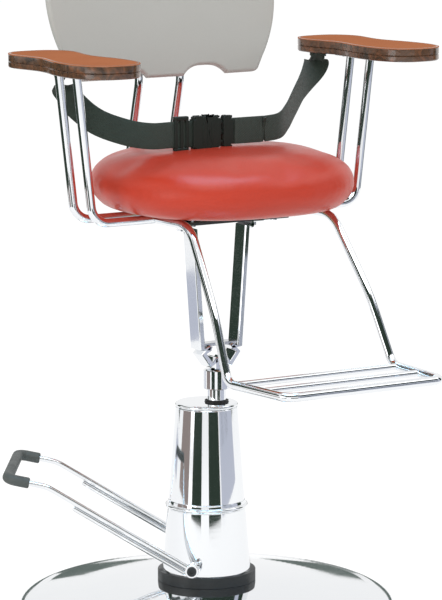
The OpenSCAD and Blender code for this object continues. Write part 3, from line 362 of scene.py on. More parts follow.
def turn(bm, outline, steps, centre=(0, 0), place=None):
    """A closed outline of (radius, height) turned round an upright axis."""
    verts, edges = wire(bm, [(centre[0] + r, centre[1], z) for r, z in outline])
    before = set(bm.verts) - set(verts)
    bmesh.ops.spin(bm, geom=verts + edges, cent=(*centre, 0), axis=(0, 0, 1), angle=2 * math.pi, steps=steps,
                   use_merge=True)
    if place:
        bmesh.ops.transform(bm, matrix=place, verts=[v for v in bm.verts if v not in before])


def heading(path, i):
    """Direction of a path at its point i."""
    return (path[min(i + 1, len(path) - 1)] - path[max(i - 1, 0)]).normalized()


def standing(path):
    """Untwisted stations along a path: the third axis points ahead."""
    out = []
    side = (path[1] - path[0]).orthogonal().normalized()
    for i, p in enumerate(path):
        ahead = heading(path, i)
        side = (side - ahead * side.dot(ahead)).normalized()
        out.append(station(p, side, ahead))
    return out


def station(p, side, ahead):
    m = Matrix((side, ahead.cross(side), ahead)).transposed().to_4x4()
    m.translation = p
    return m


def verts_of(geom):
    return [g for g in geom if isinstance(g, bmesh.types.BMVert)]


def edges_of(geom):
    return [g for g in geom if isinstance(g, bmesh.types.BMEdge)]


def carry(bm, verts, edges, stations):
    """Extrudes a closed ring through stations. Gives the rings' points and the end rings' edges."""
    rings, first = [verts], edges
    for a, b in zip(stations, stations[1:]):
        made = bmesh.ops.extrude_edge_only(bm, edges=edges)["geom"]
        verts, edges = verts_of(made), [e for e in edges_of(made) if e.is_boundary]
        bmesh.ops.transform(bm, matrix=b @ a.inverted(), verts=verts)
        rings.append(verts)
    bmesh.ops.holes_fill(bm, edges=first + edges, sides=0)
    return rings, first, edges


def sweep(bm, outline, stations):
    """Carries a flat outline through stations."""
    return carry(bm, *wire(bm, [stations[0] @ Vector((x, y, 0)) for x, y in outline]), stations)


def soften(bm, edges, radius, steps, clamp=False):
    bmesh.ops.bevel(bm, geom=list(edges), offset=radius, segments=steps, profile=0.5, affect="EDGES",
                    material=-1, clamp_overlap=clamp)


def bar(bm, path, radius, sides, soft):
    """A round bar along a path, its two ends softened."""
    stations = standing(path)
    _, first, last = carry(bm, *circle(bm, radius, sides, stations[0]), stations)
    if soft:
        soften(bm, first + last, soft, 2)


def slab(bm, outline, low, high, soft=0.0, steps=3, place=Matrix()):
    """A plate over a flat outline, its rims rounded by soft. Gives the upper rim's edges."""
    verts, edges = wire(bm, [place @ Vector((x, y, low)) for x, y in outline])
    up = place @ moved(0, 0, high - low) @ place.inverted()
    _, first, last = carry(bm, verts, edges, [Matrix(), up])
    if soft:
        soften(bm, first + last, soft, steps)
    return last


def block(bm, low, high, soft, steps, place):
    """A rectangular block with rounded edges."""
    size = [b - a for a, b in zip(low, high)]
    mid = [(a + b) / 2 for a, b in zip(low, high)]
    made = bmesh.ops.create_cube(bm, size=1.0, matrix=place @ Matrix.LocRotScale(mid, None, size))["verts"]
    soften(bm, {e for v in made for e in v.link_edges}, soft, steps)


def slice_at(bm, point, normal, dist=0.0):
    """Cuts the whole mesh along a plane and gives the cut."""
    return bmesh.ops.bisect_plane(bm, geom=bm.verts[:] + bm.edges[:] + bm.faces[:], dist=dist, plane_co=point,
                                  plane_no=normal)["geom_cut"]


def bridge_rings(bm, rings):
    """Closed skin over a chain of rings, the last joined to the first."""
    for a, b in zip(rings, rings[1:] + rings[:1]):
        bmesh.ops.bridge_loops(bm, edges=a + b)


def new_object(name, data):
    o = bpy.data.objects.new(name, data)
    bpy.context.scene.collection.objects.link(o)
    return o


def mesh_object(bm, name, surface):
    """Turns the bmesh into an object at the origin."""
    me = bpy.data.meshes.new(name)
    bm.to_mesh(me)
    bm.free()
    me.materials.append(surface)
    return new_object(name, me)


def finish(bm, name, body, node, slot, surface=None, sharp=32.0, scale=MM, merge=1e-3, flats=True):
    """Makes the bmesh a piece, smooth but for edges over sharp degrees. surface replaces the slot's look."""
    if merge:
        bmesh.ops.remove_doubles(bm, verts=bm.verts, dist=merge)
    bmesh.ops.recalc_face_normals(bm, faces=bm.faces)
    for e in bm.edges:
        e.smooth = len(e.link_faces) < 2 or e.calc_face_angle(0.0) < math.radians(sharp)
    for f in bm.faces:
        f.smooth = True
    bmesh.ops.scale(bm, vec=(scale, scale, scale), verts=bm.verts)
    o = mesh_object(bm, name, surface or SLOT_MATERIALS[slot])
    if flats:
        o.modifiers.new("even flats", "WEIGHTED_NORMAL").keep_sharp = True
    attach(o, body)
    if node:
        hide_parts(node)
    return o


def turned(name, body, node, slot, outline, steps, centre=(0, 0), surface=None):
    """A piece turned round an upright axis."""
    bm = bmesh.new()
    turn(bm, outline, steps, centre)
    finish(bm, name, body, node, slot, surface)


def bars(name, body, node, slot, paths, radius, sides=28, soft=0.6):
    """A piece of round bars."""
    bm = bmesh.new()
    for path in paths:
        bar(bm, path, radius, sides, soft)
    return finish(bm, name, body, node, slot)


def softened(node, name, body, slot, radius, surface=None):
    """A copy of a CAD node with its flats merged and its sharp edges rounded."""
    bm = bmesh.new()
    bm.from_mesh(NODES[node].data)
    bmesh.ops.remove_doubles(bm, verts=bm.verts, dist=2e-6)
    bmesh.ops.dissolve_limit(bm, angle_limit=math.radians(0.4), verts=bm.verts, edges=bm.edges)
    edges = [e for e in bm.edges if len(e.link_faces) == 2 and e.calc_face_angle(0.0) > math.radians(40)]
    soften(bm, edges, radius * MM, 2, clamp=True)
    finish(bm, name, body, node, slot, surface, 30.0, scale=1.0, merge=0)


def rounded(points, radius, steps, closed=True):
    """A flat outline with its corners rounded. radius is one number, or one for each corner."""
    out = []
    n = len(points)
    for i, p in enumerate(points):
        r = radius[i] if hasattr(radius, "__len__") else radius
        p = Vector((p[0], p[1], 0))
        if r <= 0 or (not closed and i in (0, n - 1)):
            out.append((p.x, p.y))
            continue
        a, b = Vector((*points[i - 1], 0)), Vector((*points[(i + 1) % n], 0))
        da, db = (a - p).normalized(), (b - p).normalized()
        angle = da.angle(db)
        t = min(r / math.tan(angle / 2), (a - p).length * 0.499, (b - p).length * 0.499)
        r = t * math.tan(angle / 2)
        c = p + (da + db).normalized() * (r / math.sin(angle / 2))
        s, e = p + da * t - c, p + db * t - c
        for k in range(steps + 1):
            v = c + s.slerp(e, k / steps) if k not in (0, steps) else c + (s if k == 0 else e)
            out.append((v.x, v.y))
    return out


def bent_path(points, radii, step=4.0):
    """Centreline points of straight runs joined by round bends, a point for each step degrees of bend."""
    p = [Vector(x) for x in points]
    out = [p[0]]
    for i, r in enumerate(radii, 1):
        a, b = (p[i] - p[i - 1]).normalized(), (p[i + 1] - p[i]).normalized()
        bend = a.angle(b)
        inward = (b - a * math.cos(bend)) / math.sin(bend)
        c = p[i] - a * r * math.tan(bend / 2) + inward * r
        n = max(3, int(math.degrees(bend) / step))
        out += [c - inward * r * math.cos(bend * k / n) + a * r * math.sin(bend * k / n) for k in range(n + 1)]
    return out + [p[-1]]


def smooth_line(points, n, closed=False):
    """A smooth curve through points, n steps to a span."""
    out, m = [], len(points)

    def pick(j):
        return Vector(points[j % m]) if closed else Vector(points[min(max(j, 0), m - 1)])
    for i in range(m if closed else m - 1):
        p, q, r, s = pick(i - 1), pick(i), pick(i + 1), pick(i + 2)
        for t in (k / n for k in range(n)):
            out.append(0.5 * (2 * q + (r - p) * t + (2 * p - 5 * q + 4 * r - s) * t * t
                              + (3 * q - 3 * r + s - p) * t ** 3))
    return out if closed else out + [Vector(points[-1])]


def oval(cx, cy, rx, ry, a0, a1, n):
    """Points on an oval arc, angles in degrees."""
    return [(cx + rx * math.cos(a), cy + ry * math.sin(a)) for a in np.radians(np.linspace(a0, a1, n))]


def inset_outline(outline, inset):
    """A flat outline moved inwards."""
    bm = bmesh.new()
    face = bm.faces.new(wire(bm, [(x, y, 0) for x, y in outline])[0])
    bmesh.ops.inset_region(bm, faces=[face], thickness=inset, use_even_offset=True)
    out = [(v.co.x, v.co.y) for v in face.verts]
    bm.free()
    return out

# ---- base and pump casing

BASE_R, RIM_W, RIM_H, DOME_RISE, FLAT_R, WALL = 280.0, 34.0, 22.0, 19.0, 76.0, 3.0
SHEET_T, BASE_TOP, BORE_R, DOME_POWER, RIM_START = 3.0, 44.0, 55.3, 1.5, 74
SHOULDER_R = BASE_R - RIM_W


def dome_curve(start, end, n, drop=0.0):
    """The dome's slope grows towards the rim."""
    return [(r, BASE_TOP - DOME_RISE * ((r - FLAT_R) / (SHOULDER_R - FLAT_R)) ** DOME_POWER - drop)
            for r in np.linspace(start, end, n)]


COVER_WALL, COVER_LIP = 1.5, 0.8
FOOT_COVER_Z, FOOT_COVER_R, UPPER_COVER_R = 60.0, 65.5, 56.5
RING_Z, RING_TOP, RING_BEAD, RING_IN, RING_OUT = 153.0, 165.0, 3.0, 55.0, 58.0
CAP_Z, CAP_TOP, CAP_R, CAP_EDGE, CAP_BORE_R = 304.0, 311.0, 46.0, 3.3, 16.5


def cover(part, low_r, high_r, low, high):
    """A tapered shell of the casing."""
    outline = [(low_r - COVER_WALL, low), (low_r, low), (high_r, high), (high_r - COVER_WALL, high)]
    turned(f"{part}_shell", "base", part, "chrome", rounded(outline, [0.2, COVER_LIP, COVER_LIP, 0.2], 4), 256)


def top_cap():
    """A round-edged disc with an off-centre bore for the ram."""
    bm = bmesh.new()
    rings = [circle(bm, r, 224, moved(x, y, z))[1] for x, y, r, z in (
        (*SWIVEL_XY, CAP_BORE_R, CAP_Z), (0, 0, CAP_R, CAP_Z), (0, 0, CAP_R, CAP_TOP),
        (*SWIVEL_XY, CAP_BORE_R + 0.8, CAP_TOP), (*SWIVEL_XY, CAP_BORE_R, CAP_TOP - 0.6))]
    bridge_rings(bm, rings)
    soften(bm, rings[1] + rings[2], CAP_EDGE, 6)
    finish(bm, "casing_top_cap", "base", "top_cap", "bright_steel", CHROME)


turned("base_disc_shell", "base", "base_disc", "chrome",
       [(BORE_R, BASE_TOP), (FLAT_R, BASE_TOP)] + dome_curve(FLAT_R + 2, SHOULDER_R, 60)
       + oval(SHOULDER_R, SHEET_T, RIM_W, RIM_H, RIM_START, 0, 28)
       + oval(SHOULDER_R, SHEET_T, RIM_W - WALL, RIM_H - WALL, 0, 90, 14)
       + dome_curve(SHOULDER_R - 6, FLAT_R, 16, WALL) + [(BORE_R, BASE_TOP - WALL)], 288)
cover("lower_cover", FOOT_COVER_R, RING_OUT, FOOT_COVER_Z, RING_Z)
cover("upper_cover", UPPER_COVER_R, CAP_R, RING_TOP, CAP_Z)
turned("cover_joint_ring", "base", "cover_ring", "bright_steel",
       [(RING_IN, RING_Z), (RING_OUT, RING_Z)]
       + oval(RING_OUT, RING_Z + 4.0, RING_BEAD, RING_BEAD, -90, 90, 14)
       + [(RING_OUT, RING_Z + 8.2), (RING_OUT - 0.8, RING_TOP), (RING_IN, RING_TOP)], 256, surface=CHROME)
top_cap()
turned("ram_wiper_lip", "base", "ram_wiper", "seal_rubber",
       rounded([(14.1, 304.2), (16.4, 304.2), (16.4, 311.0), (17.6, 311.2), (17.2, 313.2), (14.9, 314.0),
                (14.1, 313.0)], 0.4, 3), 96, SWIVEL_XY)
softened("pump_flange", "pump_flange_casting", "base", "black_casting", 1.1)

# ---- foot lever

SLOPE, END_SLOPE, ARM, END_LEN, HALF_W = math.radians(30.4), math.radians(11), 245.0, 59.0, 90.0
LEVER_R, STIFFENER_R, GRIP_R, GRIP_ARM, FOOT_BEND, TIP_BEND = 4.5, 3.5, 8.0, 33.0, 60, 14
HUB_HALF_W, PIVOT_HUB_R, PIVOT_BORE_R = 6.0, 10.0, 6.05
SCREW_R, SCREW_H, HEX_R, HEX_DEPTH, SHANK_R = 7.0, 3.5, 3.6, 2.0, 3.0
KINK = (PIVOT_U + ARM * math.cos(SLOPE), PIVOT_Z + ARM * math.sin(SLOPE))
TIP = (KINK[0] + END_LEN * math.cos(END_SLOPE), KINK[1] + END_LEN * math.sin(END_SLOPE))


def along_arm(d, drop=0.0):
    """Reach and height at a distance along the lever's arm, drop below its centreline."""
    return (PIVOT_U + d * math.cos(SLOPE) + drop * math.sin(SLOPE),
            PIVOT_Z + d * math.sin(SLOPE) - drop * math.cos(SLOPE))


def lever_path(half):
    """Both arms of a lever part, from its (reach, height) points on one side."""
    return ([at_lever((u, -HALF_W, z)) for u, z in half]
            + [at_lever((u, HALF_W, z)) for u, z in reversed(half)])


def lever():
    tube = bent_path(lever_path([along_arm(9.0), KINK, TIP]), [FOOT_BEND, TIP_BEND, TIP_BEND, FOOT_BEND])
    bars("lever_bar_tube", "lever", "lever_bar", "chrome", [tube], LEVER_R, 24)
    line = [along_arm(d, LEVER_R + STIFFENER_R) for d in (6.5, 40, 150, ARM * 0.8)]
    bars("lever_stiffener_bars", "lever", "lever_stiffeners", "chrome",
         [[at_lever((u, side, z)) for u, z in line] for side in (-HALF_W, HALF_W)], STIFFENER_R, 20, 1.4)
    start = (TIP[0] - GRIP_ARM * math.cos(END_SLOPE), TIP[1] - GRIP_ARM * math.sin(END_SLOPE))
    bars("lever_rubber_grip", "lever", "lever_grip", "grip_rubber",
         [bent_path(lever_path([start, TIP]), [TIP_BEND, TIP_BEND])], GRIP_R, soft=2.2)


def screw_head(bm, place):
    """A cap screw head with a hexagonal socket, standing along the third axis of place."""
    loops = [circle(bm, SCREW_R, 48, place @ moved(0, 0, z))[1] for z in (0, SCREW_H)]
    for z in (SCREW_H, SCREW_H - HEX_DEPTH):
        edges = circle(bm, HEX_R, 6, place @ moved(0, 0, z))[1]
        loops.append(edges_of(bmesh.ops.subdivide_edges(bm, edges=edges, cuts=7)["geom_split"]))
    for a, b in zip(loops, loops[1:]):
        bmesh.ops.bridge_loops(bm, edges=a + b)
    bmesh.ops.holes_fill(bm, edges=loops[0] + loops[-1], sides=0)
    soften(bm, loops[1], SCREW_H * 0.28, 3)


def on_shaft(reach, way):
    """A place on the pivot shaft, its third axis pointing out to one side."""
    return LEVER_TURN @ moved(PIVOT_U, reach, PIVOT_Z) @ Matrix.Rotation(-way * math.pi / 2, 4, "X")


def lever_pivots():
    bm, screws = bmesh.new(), bmesh.new()
    hub = [(PIVOT_BORE_R, -HUB_HALF_W), (PIVOT_HUB_R, -HUB_HALF_W), (PIVOT_HUB_R, HUB_HALF_W),
           (PIVOT_BORE_R, HUB_HALF_W)]
    for side in (-1, 1):
        turn(bm, rounded(hub, [0.2, 0.9, 0.9, 0.2], 3), 64, place=on_shaft(side * HALF_W, 1))
        face = on_shaft(side * (HALF_W + HUB_HALF_W), side)
        screw_head(screws, face)
        bar(screws, [face @ Vector((0, 0, z)) for z in (-12, -6, 0.4)], SHANK_R, 20, 0.3)
    finish(bm, "lever_pivot_hubs", "lever", "lever_hubs", "chrome")
    finish(screws, "lever_cap_screws", "lever", "lever_screws", "dark_paint")


lever()
lever_pivots()

SPRING_R, SPRING_WIRE, SPRING_TURNS, STROKE = 7.6, 0.88, 7, 10.06


def plunger_spring():
    """The small return spring that the rocker presses through the plunger, coiled once to fill its part's box.
    """
    low, high = (Vector(corner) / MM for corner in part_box("plunger_spring"))
    steps = 24 * SPRING_TURNS
    middle = Vector(((low.x + high.x) / 2, (low.y + high.y) / 2, low.z + SPRING_WIRE))
    rise = high.z - low.z - 2 * SPRING_WIRE
    coil = [middle + LEVER_TURN @ Vector((SPRING_R * math.cos(a), SPRING_R * math.sin(a), rise * k / steps))
            for k, a in enumerate(np.linspace(0, 2 * math.pi * SPRING_TURNS, steps + 1))]
    o = bars("plunger_return_spring", "base", "plunger_spring", "bright_steel", [coil], SPRING_WIRE, 12, 0.2)
    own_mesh(o)


plunger_spring()

# ---- hub and yoke

HUB_LOW, HUB_TOP, HUB_FLOOR, HUB_R, RAM_R = 331.0, 360.0, 352.5, 20.0, 14.1
YOKE_LINE = [(0, 364.5), (13, 364.5), (32, 389), (46, 579.5), (74, 579.5)]
YOKE_BENDS, YOKE_HALF_W, YOKE_HALF_T = [0, 12, 14, 9, 0], 14.0, 4.5


def yoke_bar(side, label):
    """A flat bar bent up from the hub to the seat plate."""
    gap = 0.1 if side > 0 else 0.0
    path = [at_swivel((side * (x + gap), 0, z)) for x, z in rounded(YOKE_LINE, YOKE_BENDS, 6, closed=False)]
    w, t = YOKE_HALF_W, YOKE_HALF_T
    bm = bmesh.new()
    _, _, last = sweep(bm, rounded([(-w, -t), (w, -t), (w, t), (-w, t)], 1.6, 3),
                       [station(p, Vector((0, 1, 0)), heading(path, i)) for i, p in enumerate(path)])
    soften(bm, last, 0.8, 2)
    finish(bm, f"yoke_bar_{label}", "seat", f"yoke_{label}", "chrome")


turned("hub_socket_body", "seat", "hub_socket", "chrome",
       rounded([(RAM_R, HUB_LOW), (HUB_R, HUB_LOW), (HUB_R, HUB_TOP), (0.0, HUB_TOP), (0.0, HUB_FLOOR),
                (RAM_R, HUB_FLOOR)], [0.2, 1.2, 1.5, 0, 0, 0], 4), 128, SWIVEL_XY)
yoke_bar(-1, "left")
yoke_bar(1, "right")

# ---- bent tubes of the seat

ROD_X, ROD_LEAN, ROD_YS = 252.0, math.radians(6.8), {"front": -28.5, "rear": 22.5}
POST_X, POST_FOOT_Y, PANEL_RISE, POST_LEAN = 36.0, 203.0, 182.0, math.radians(14)
POST_Y = POST_FOOT_Y - PANEL_RISE * math.tan(POST_LEAN)
PANEL_Z = TUBE_Z + PANEL_RISE
LEAN, POST_TOP = math.radians(10), 118
FOOT_Z, FOOT_ROD_R, FOOT_HALF_W, FOOT_RODS = 390.0, 5.0, 140, (264.5, 324.5)
FOOT_LEG = [(122, -35.3, TUBE_Z), (122, -122, TUBE_Z), (133, -203, FOOT_Z + 94), (FOOT_HALF_W, -250, FOOT_Z),
            (130, -385, FOOT_Z)]
FOOT_BENDS = [50, 300, 25, 18]


def seat_tubes(name, node, lines, bends, step=4.0):
    """A piece of bent tubes, their corner points measured from the swivel."""
    bars(name, "seat", node, "chrome", [bent_path([at_swivel(p) for p in line], bends, step) for line in lines],
         TUBE_R, 32)


def both_legs(half):
    return half + [(-x, y, z) for x, y, z in reversed(half)]


def arm_hoop(label, y):
    top_z = ARM_LOW - TUBE_R * math.sin(ROD_LEAN) - 0.3
    low_x = ROD_X - (top_z - TUBE_Z) * math.tan(ROD_LEAN)
    seat_tubes(f"armrest_rod_{label}", f"arm_hoop_{label}",
               [both_legs([(-ROD_X, y, top_z), (-low_x, y, TUBE_Z)])], [28, 28])


def back_posts():
    lines = []
    for x in (-POST_X, POST_X):
        knee = Vector((x, POST_Y, PANEL_Z))
        top = knee + POST_TOP * Vector((0, math.sin(LEAN), math.cos(LEAN)))
        lines.append([(x, 30, TUBE_Z), (x, POST_FOOT_Y, TUBE_Z), knee, top])
    seat_tubes("back_post_pair", "back_posts", lines, [32, 60])


def footrest():
    seat_tubes("footrest_tube", "footrest_frame", [both_legs(FOOT_LEG)], FOOT_BENDS + FOOT_BENDS[::-1], 3.0)
    rods = []
    for reach in FOOT_RODS:
        half = FOOT_HALF_W - 10 * (reach - 250) / 135 - TUBE_R + 0.6
        rods.append([at_swivel((x, -reach, FOOT_Z)) for x in np.linspace(-half, half, 5)])
    bars("footrest_cross_rods", "seat", "footrest_rods", "chrome", rods, FOOT_ROD_R, soft=0)


for label, y in ROD_YS.items():
    arm_hoop(label, y)
back_posts()
footrest()

# ---- armrests

ARM_MID_Y, ARM_L, ARM_HALF_W, ARM_TOE = -22.0, 275.0, 52.9, math.radians(2)
ARM_SHARES = [(0, 0), (0.42, 0.012), (0.78, 0.07), (0.97, 0.17), (1, 0.28), (0.94, 0.4), (0.81, 0.52),
              (0.78, 0.61), (0.86, 0.71), (0.96, 0.81), (0.9, 0.9), (0.62, 0.975), (0.25, 1)]
SHEET_RIM, SHEET_SINK, EDGE_ROUND, GROOVE_Z, GROOVE_DEPTH = 3.4, 0.9, 2.4, ARM_LOW + 8.7, 1.2


def arm_plan(side):
    """Outline of an armrest in the seat's place, its rear end turned inwards."""
    half = ARM_SHARES + [(-s, l) for s, l in reversed(ARM_SHARES[1:])]
    spin = Matrix.Rotation(ARM_TOE, 4, "Z")
    middle = Vector((ROD_X, ARM_MID_Y, 0))
    pts = [spin @ Vector((s * ARM_HALF_W, (l - 0.5) * ARM_L, 0)) + middle for s, l in half]
    loop = [(side * p.x + SWIVEL.x, p.y + SWIVEL.y) for p in smooth_line(pts, 9, closed=True)]
    return loop if side > 0 else loop[::-1]


def armrest(side, label):
    """A moulded edge band with a groove, and a laminate sheet let into its top."""
    plan = arm_plan(side)
    bm = bmesh.new()
    slab(bm, plan, ARM_LOW, ARM_TOP, EDGE_ROUND, 4)
    bmesh.ops.recalc_face_normals(bm, faces=bm.faces)
    _, groove, _ = (verts_of(slice_at(bm, (0, 0, GROOVE_Z + z), (0, 0, 1))) for z in (-1.0, 0.0, 1.0))
    bm.normal_update()
    for v in groove:
        v.co -= Vector((v.normal.x, v.normal.y, 0)).normalized() * GROOVE_DEPTH
    top = max(bm.faces, key=lambda f: f.calc_center_median().z)
    for thick, sink in ((SHEET_RIM - EDGE_ROUND, 0.0), (0.4, -SHEET_SINK)):
        bmesh.ops.inset_region(bm, faces=[top], thickness=thick, depth=sink, use_even_offset=True)
    finish(bm, f"armrest_{label}_edge", "seat", f"armrest_{label}", "arm_board", ARM_EDGE, 40)
    bm = bmesh.new()
    slab(bm, inset_outline(plan, SHEET_RIM + 0.5), ARM_TOP - SHEET_SINK - 0.4, ARM_TOP - 0.15, 0.3, 2)
    finish(bm, f"armrest_{label}_top", "seat", None, "arm_board")


armrest(-1, "left")
armrest(1, "right")

# ---- back panel

PANEL_W, PANEL_H, PANEL_T, WRAP_R = 394.0, 314.0, 11.0, 1500.0
LOW_HALF, CORNER_R, FLARE, WIDE_H, TOP_R = 149.0, 12.0, 35.0, 125.0, 78.0
NOTCH_X, NOTCH_HALF_W, NOTCH_H = 68.0, 37.0, 14.5


def panel_plan():
    """The panel's outline, with two notches in its lower edge."""
    def notch(side):
        return [(side * NOTCH_X + NOTCH_HALF_W * side * t, NOTCH_H * (1 - abs(t) ** 3))
                for t in np.linspace(1, -1, 25)]
    side_r = (WIDE_H - CORNER_R) / math.sin(math.radians(FLARE))
    half = (oval(LOW_HALF, CORNER_R, CORNER_R, CORNER_R, -90, -FLARE, 7)
            + oval(PANEL_W / 2 - side_r, WIDE_H, side_r, side_r, -FLARE, 0, 12)[1:]
            + oval(PANEL_W / 2 - TOP_R, PANEL_H - TOP_R, TOP_R, TOP_R, 0, 90, 24))
    loop = notch(-1) + notch(1)[::-1] + half + [(-x, z) for x, z in reversed(half)]
    return [p for p, q in zip(loop, loop[1:] + loop[:1]) if math.dist(p, q) > 0.4]


def panel_place(x, z, depth):
    """Depth 0 is the rear face; the panel wraps slightly round the sitter."""
    rear = -TUBE_R - 3.0 - WRAP_R + math.sqrt((WRAP_R - depth) ** 2 - x * x)
    return at_swivel(Matrix.Rotation(-LEAN, 4, "X") @ Vector((x, rear, z)) + Vector((0, POST_Y, PANEL_Z)))


def back_panel():
    bm = bmesh.new()
    front = slab(bm, panel_plan(), 0, PANEL_T)
    back = [e for e in bm.edges if all(v.co.z < 0.01 for v in e.verts)]
    soften(bm, front, 5.0, 6)
    soften(bm, back, 2.0, 3)
    for x in np.arange(-192, 193, 6.0):
        slice_at(bm, (x + 0.013, 0, 0), (1, 0, 0), 1e-4)
    for v in bm.verts:
        v.co = panel_place(*v.co)
    finish(bm, "back_panel_shell", "seat", "back_panel", "grey_vinyl", sharp=40)


back_panel()
for node, slot, soft in (("arm_bracket_left", "plain_steel", 0.5), ("arm_bracket_right", "plain_steel", 0.5),
                         ("belt_anchors", "plain_steel", 0.4), ("back_bracket", "plain_steel", 0.5),
                         ("seat_plate", "dark_paint", 0.8)):
    softened(node, f"{node}_softened", "seat", slot, soft)
softened("yoke_brace", "yoke_brace_softened", "seat", "plain_steel", 0.6, BRIGHT)

# ---- seat cushion

SEAT_POWER, SEAT_DRAW, SEAT_EDGE, SMOOTHINGS = 2.3, 0.008, 0.24, 14
SHRINK, VOXEL, SWELL_CAP, SEATED_H, SWELL_FRAMES = 0.5, 0.0055, 0.005, 0.008, 20
VINYL_SKIN = {"quality": 5, "mass": 0.25, "tension_stiffness": 18, "compression_stiffness": 18,
              "bending_stiffness": 8.0, "use_pressure": True, "uniform_pressure_force": 4.0}


def seat_plan():
    """The seat's rounded square outline, slightly drawn in at its four sides."""
    out = []
    for a in np.linspace(0, 2 * math.pi, 144, endpoint=False):
        c, s = abs(math.cos(a)), abs(math.sin(a))
        reach = ((1 - SEAT_DRAW * (1 + math.cos(4 * a)))
                 / ((c * 2 / SEAT_W) ** SEAT_POWER + (s * 2 / SEAT_D) ** SEAT_POWER) ** (1 / SEAT_POWER))
        out.append((reach * math.cos(a), reach * math.sin(a)))
    return out


def cushion_shape(bm, shrink):
    """A crowned pad with a full round side. shrink leaves it slightly small above its underside."""
    half = (SEAT_H - CROWN) / 2
    stations = []
    for a in np.radians(np.linspace(-90, 90, 33)):
        q = 1 - SEAT_EDGE * (1 - math.cos(a))
        up = (half - shrink) * math.sin(a) + CROWN * (1 - q * q) if a > 0 else half * math.sin(a)
        stations.append((q, CUSHION_Z + half + up))
    stations += [(q, CUSHION_Z + 2 * half - shrink + CROWN * (1 - q * q)) for q in np.linspace(0.72, 0.04, 14)]
    small = 1 - shrink / (SEAT_D / 2)
    middle = SWIVEL - Vector((0, SEAT_FORWARD, 0))
    sweep(bm, seat_plan(), [moved(middle.x, middle.y, z) @ Matrix.Diagonal((q * small, q * small, 1, 1))
                            for q, z in stations])


def swell(o, cap, low_z):
    """Inflates a closed pad by cloth simulation and keeps each point within cap metres of its start."""
    before = np.array([v.co for v in o.data.vertices])
    pins = o.vertex_groups.new(name="seated")
    pins.add([i for i, c in enumerate(before) if c[2] < low_z], 1.0, "REPLACE")
    cloth = o.modifiers.new("swell", "CLOTH")
    for key, value in VINYL_SKIN.items():
        setattr(cloth.settings, key, value)
    cloth.settings.effector_weights.gravity = 0
    cloth.settings.vertex_group_mass = pins.name
    cloth.point_cache.frame_start, cloth.point_cache.frame_end = 1, SWELL_FRAMES
    for f in range(1, SWELL_FRAMES + 1):
        bpy.context.scene.frame_set(f)
    done = o.evaluated_get(bpy.context.evaluated_depsgraph_get())
    after = np.array([v.co for v in done.to_mesh().vertices])
    done.to_mesh_clear()
    o.modifiers.clear()
    step = after - before
    length = np.linalg.norm(step, axis=1, keepdims=True)
    after = before + step * np.minimum(1.0, cap / np.maximum(length, 1e-9))
    o.data.vertices.foreach_set("co", after.ravel())
    bm = bmesh.new()
    bm.from_mesh(o.data)
    loose = [v for v in bm.verts if v.co.z > low_z]
    for _ in range(SMOOTHINGS):
        bmesh.ops.smooth_vert(bm, verts=loose, factor=0.5, use_axis_x=True, use_axis_y=True, use_axis_z=True)
    bm.to_mesh(o.data)
    bm.free()
    bpy.context.scene.frame_set(1)


def cushion():
    bm = bmesh.new()
    cushion_shape(bm, SHRINK)
    o = finish(bm, "seat_cushion_cover", "seat", "seat_cushion", "red_vinyl", sharp=70, flats=False)
    even = o.modifiers.new("even", "REMESH")
    even.mode, even.voxel_size = "VOXEL", VOXEL
    o.data = bpy.data.meshes.new_from_object(o.evaluated_get(bpy.context.evaluated_depsgraph_get()))
    o.modifiers.clear()
    o.data.materials.clear()
    o.data.materials.append(VINYL)
    for f in o.data.polygons:
        f.use_smooth = True
    swell(o, SWELL_CAP, CUSHION_Z * MM + SEATED_H)
    sub = o.modifiers.new("fine", "SUBSURF")
    sub.levels = sub.render_levels = 1


cushion()

# ---- belt

ANCHOR_X, ANCHOR_Y, BELT_TURN = 222.0, 68.0, 0.45
BELT_TOP = ARM_LOW - 2.3
LEFT_RISE = [(1, 1, 1), (1, 1, 0.94), (1, 1, 0.88), (0.995, 0.9, 0.7), (0.965, 0.72, 0.48), (0.86, 0.46, 0.22),
             (0.7, 0.2, 0.06), (0.56, 0.04, 0)]
RIGHT_RISE = [(1, 1, 1), (1, 1, 0.94), (1, 1, 0.88), (0.955, 0.93, 0.78), (0.87, 0.8, 0.65), (0.76, 0.61, 0.49),
              (0.65, 0.41, 0.3), (0.54, 0.2, 0.13), (0.44, 0.05, 0.025)]
SLIDER_X, BUCKLE_LOW, TAIL_Y, TAIL_X, TAIL_END = -75.0, -57.0, BELT_Y - 2.8, 15.2, 61.8


def on_belt(x):
    return moved(SWIVEL.x + x, SWIVEL.y + BELT_Y, BELT_Z)


def belt_route(side, rise, inner):
    """A strap's line from its anchor, by shares of the way out, back and up, to its inner points."""
    climb = [(side * x * ANCHOR_X, BELT_Y + y * (ANCHOR_Y - BELT_Y), BELT_Z + z * (BELT_TOP - BELT_Z))
             for x, y, z in rise]
    return smooth_line(climb + [(x, BELT_Y, BELT_Z) for x in inner], 10)


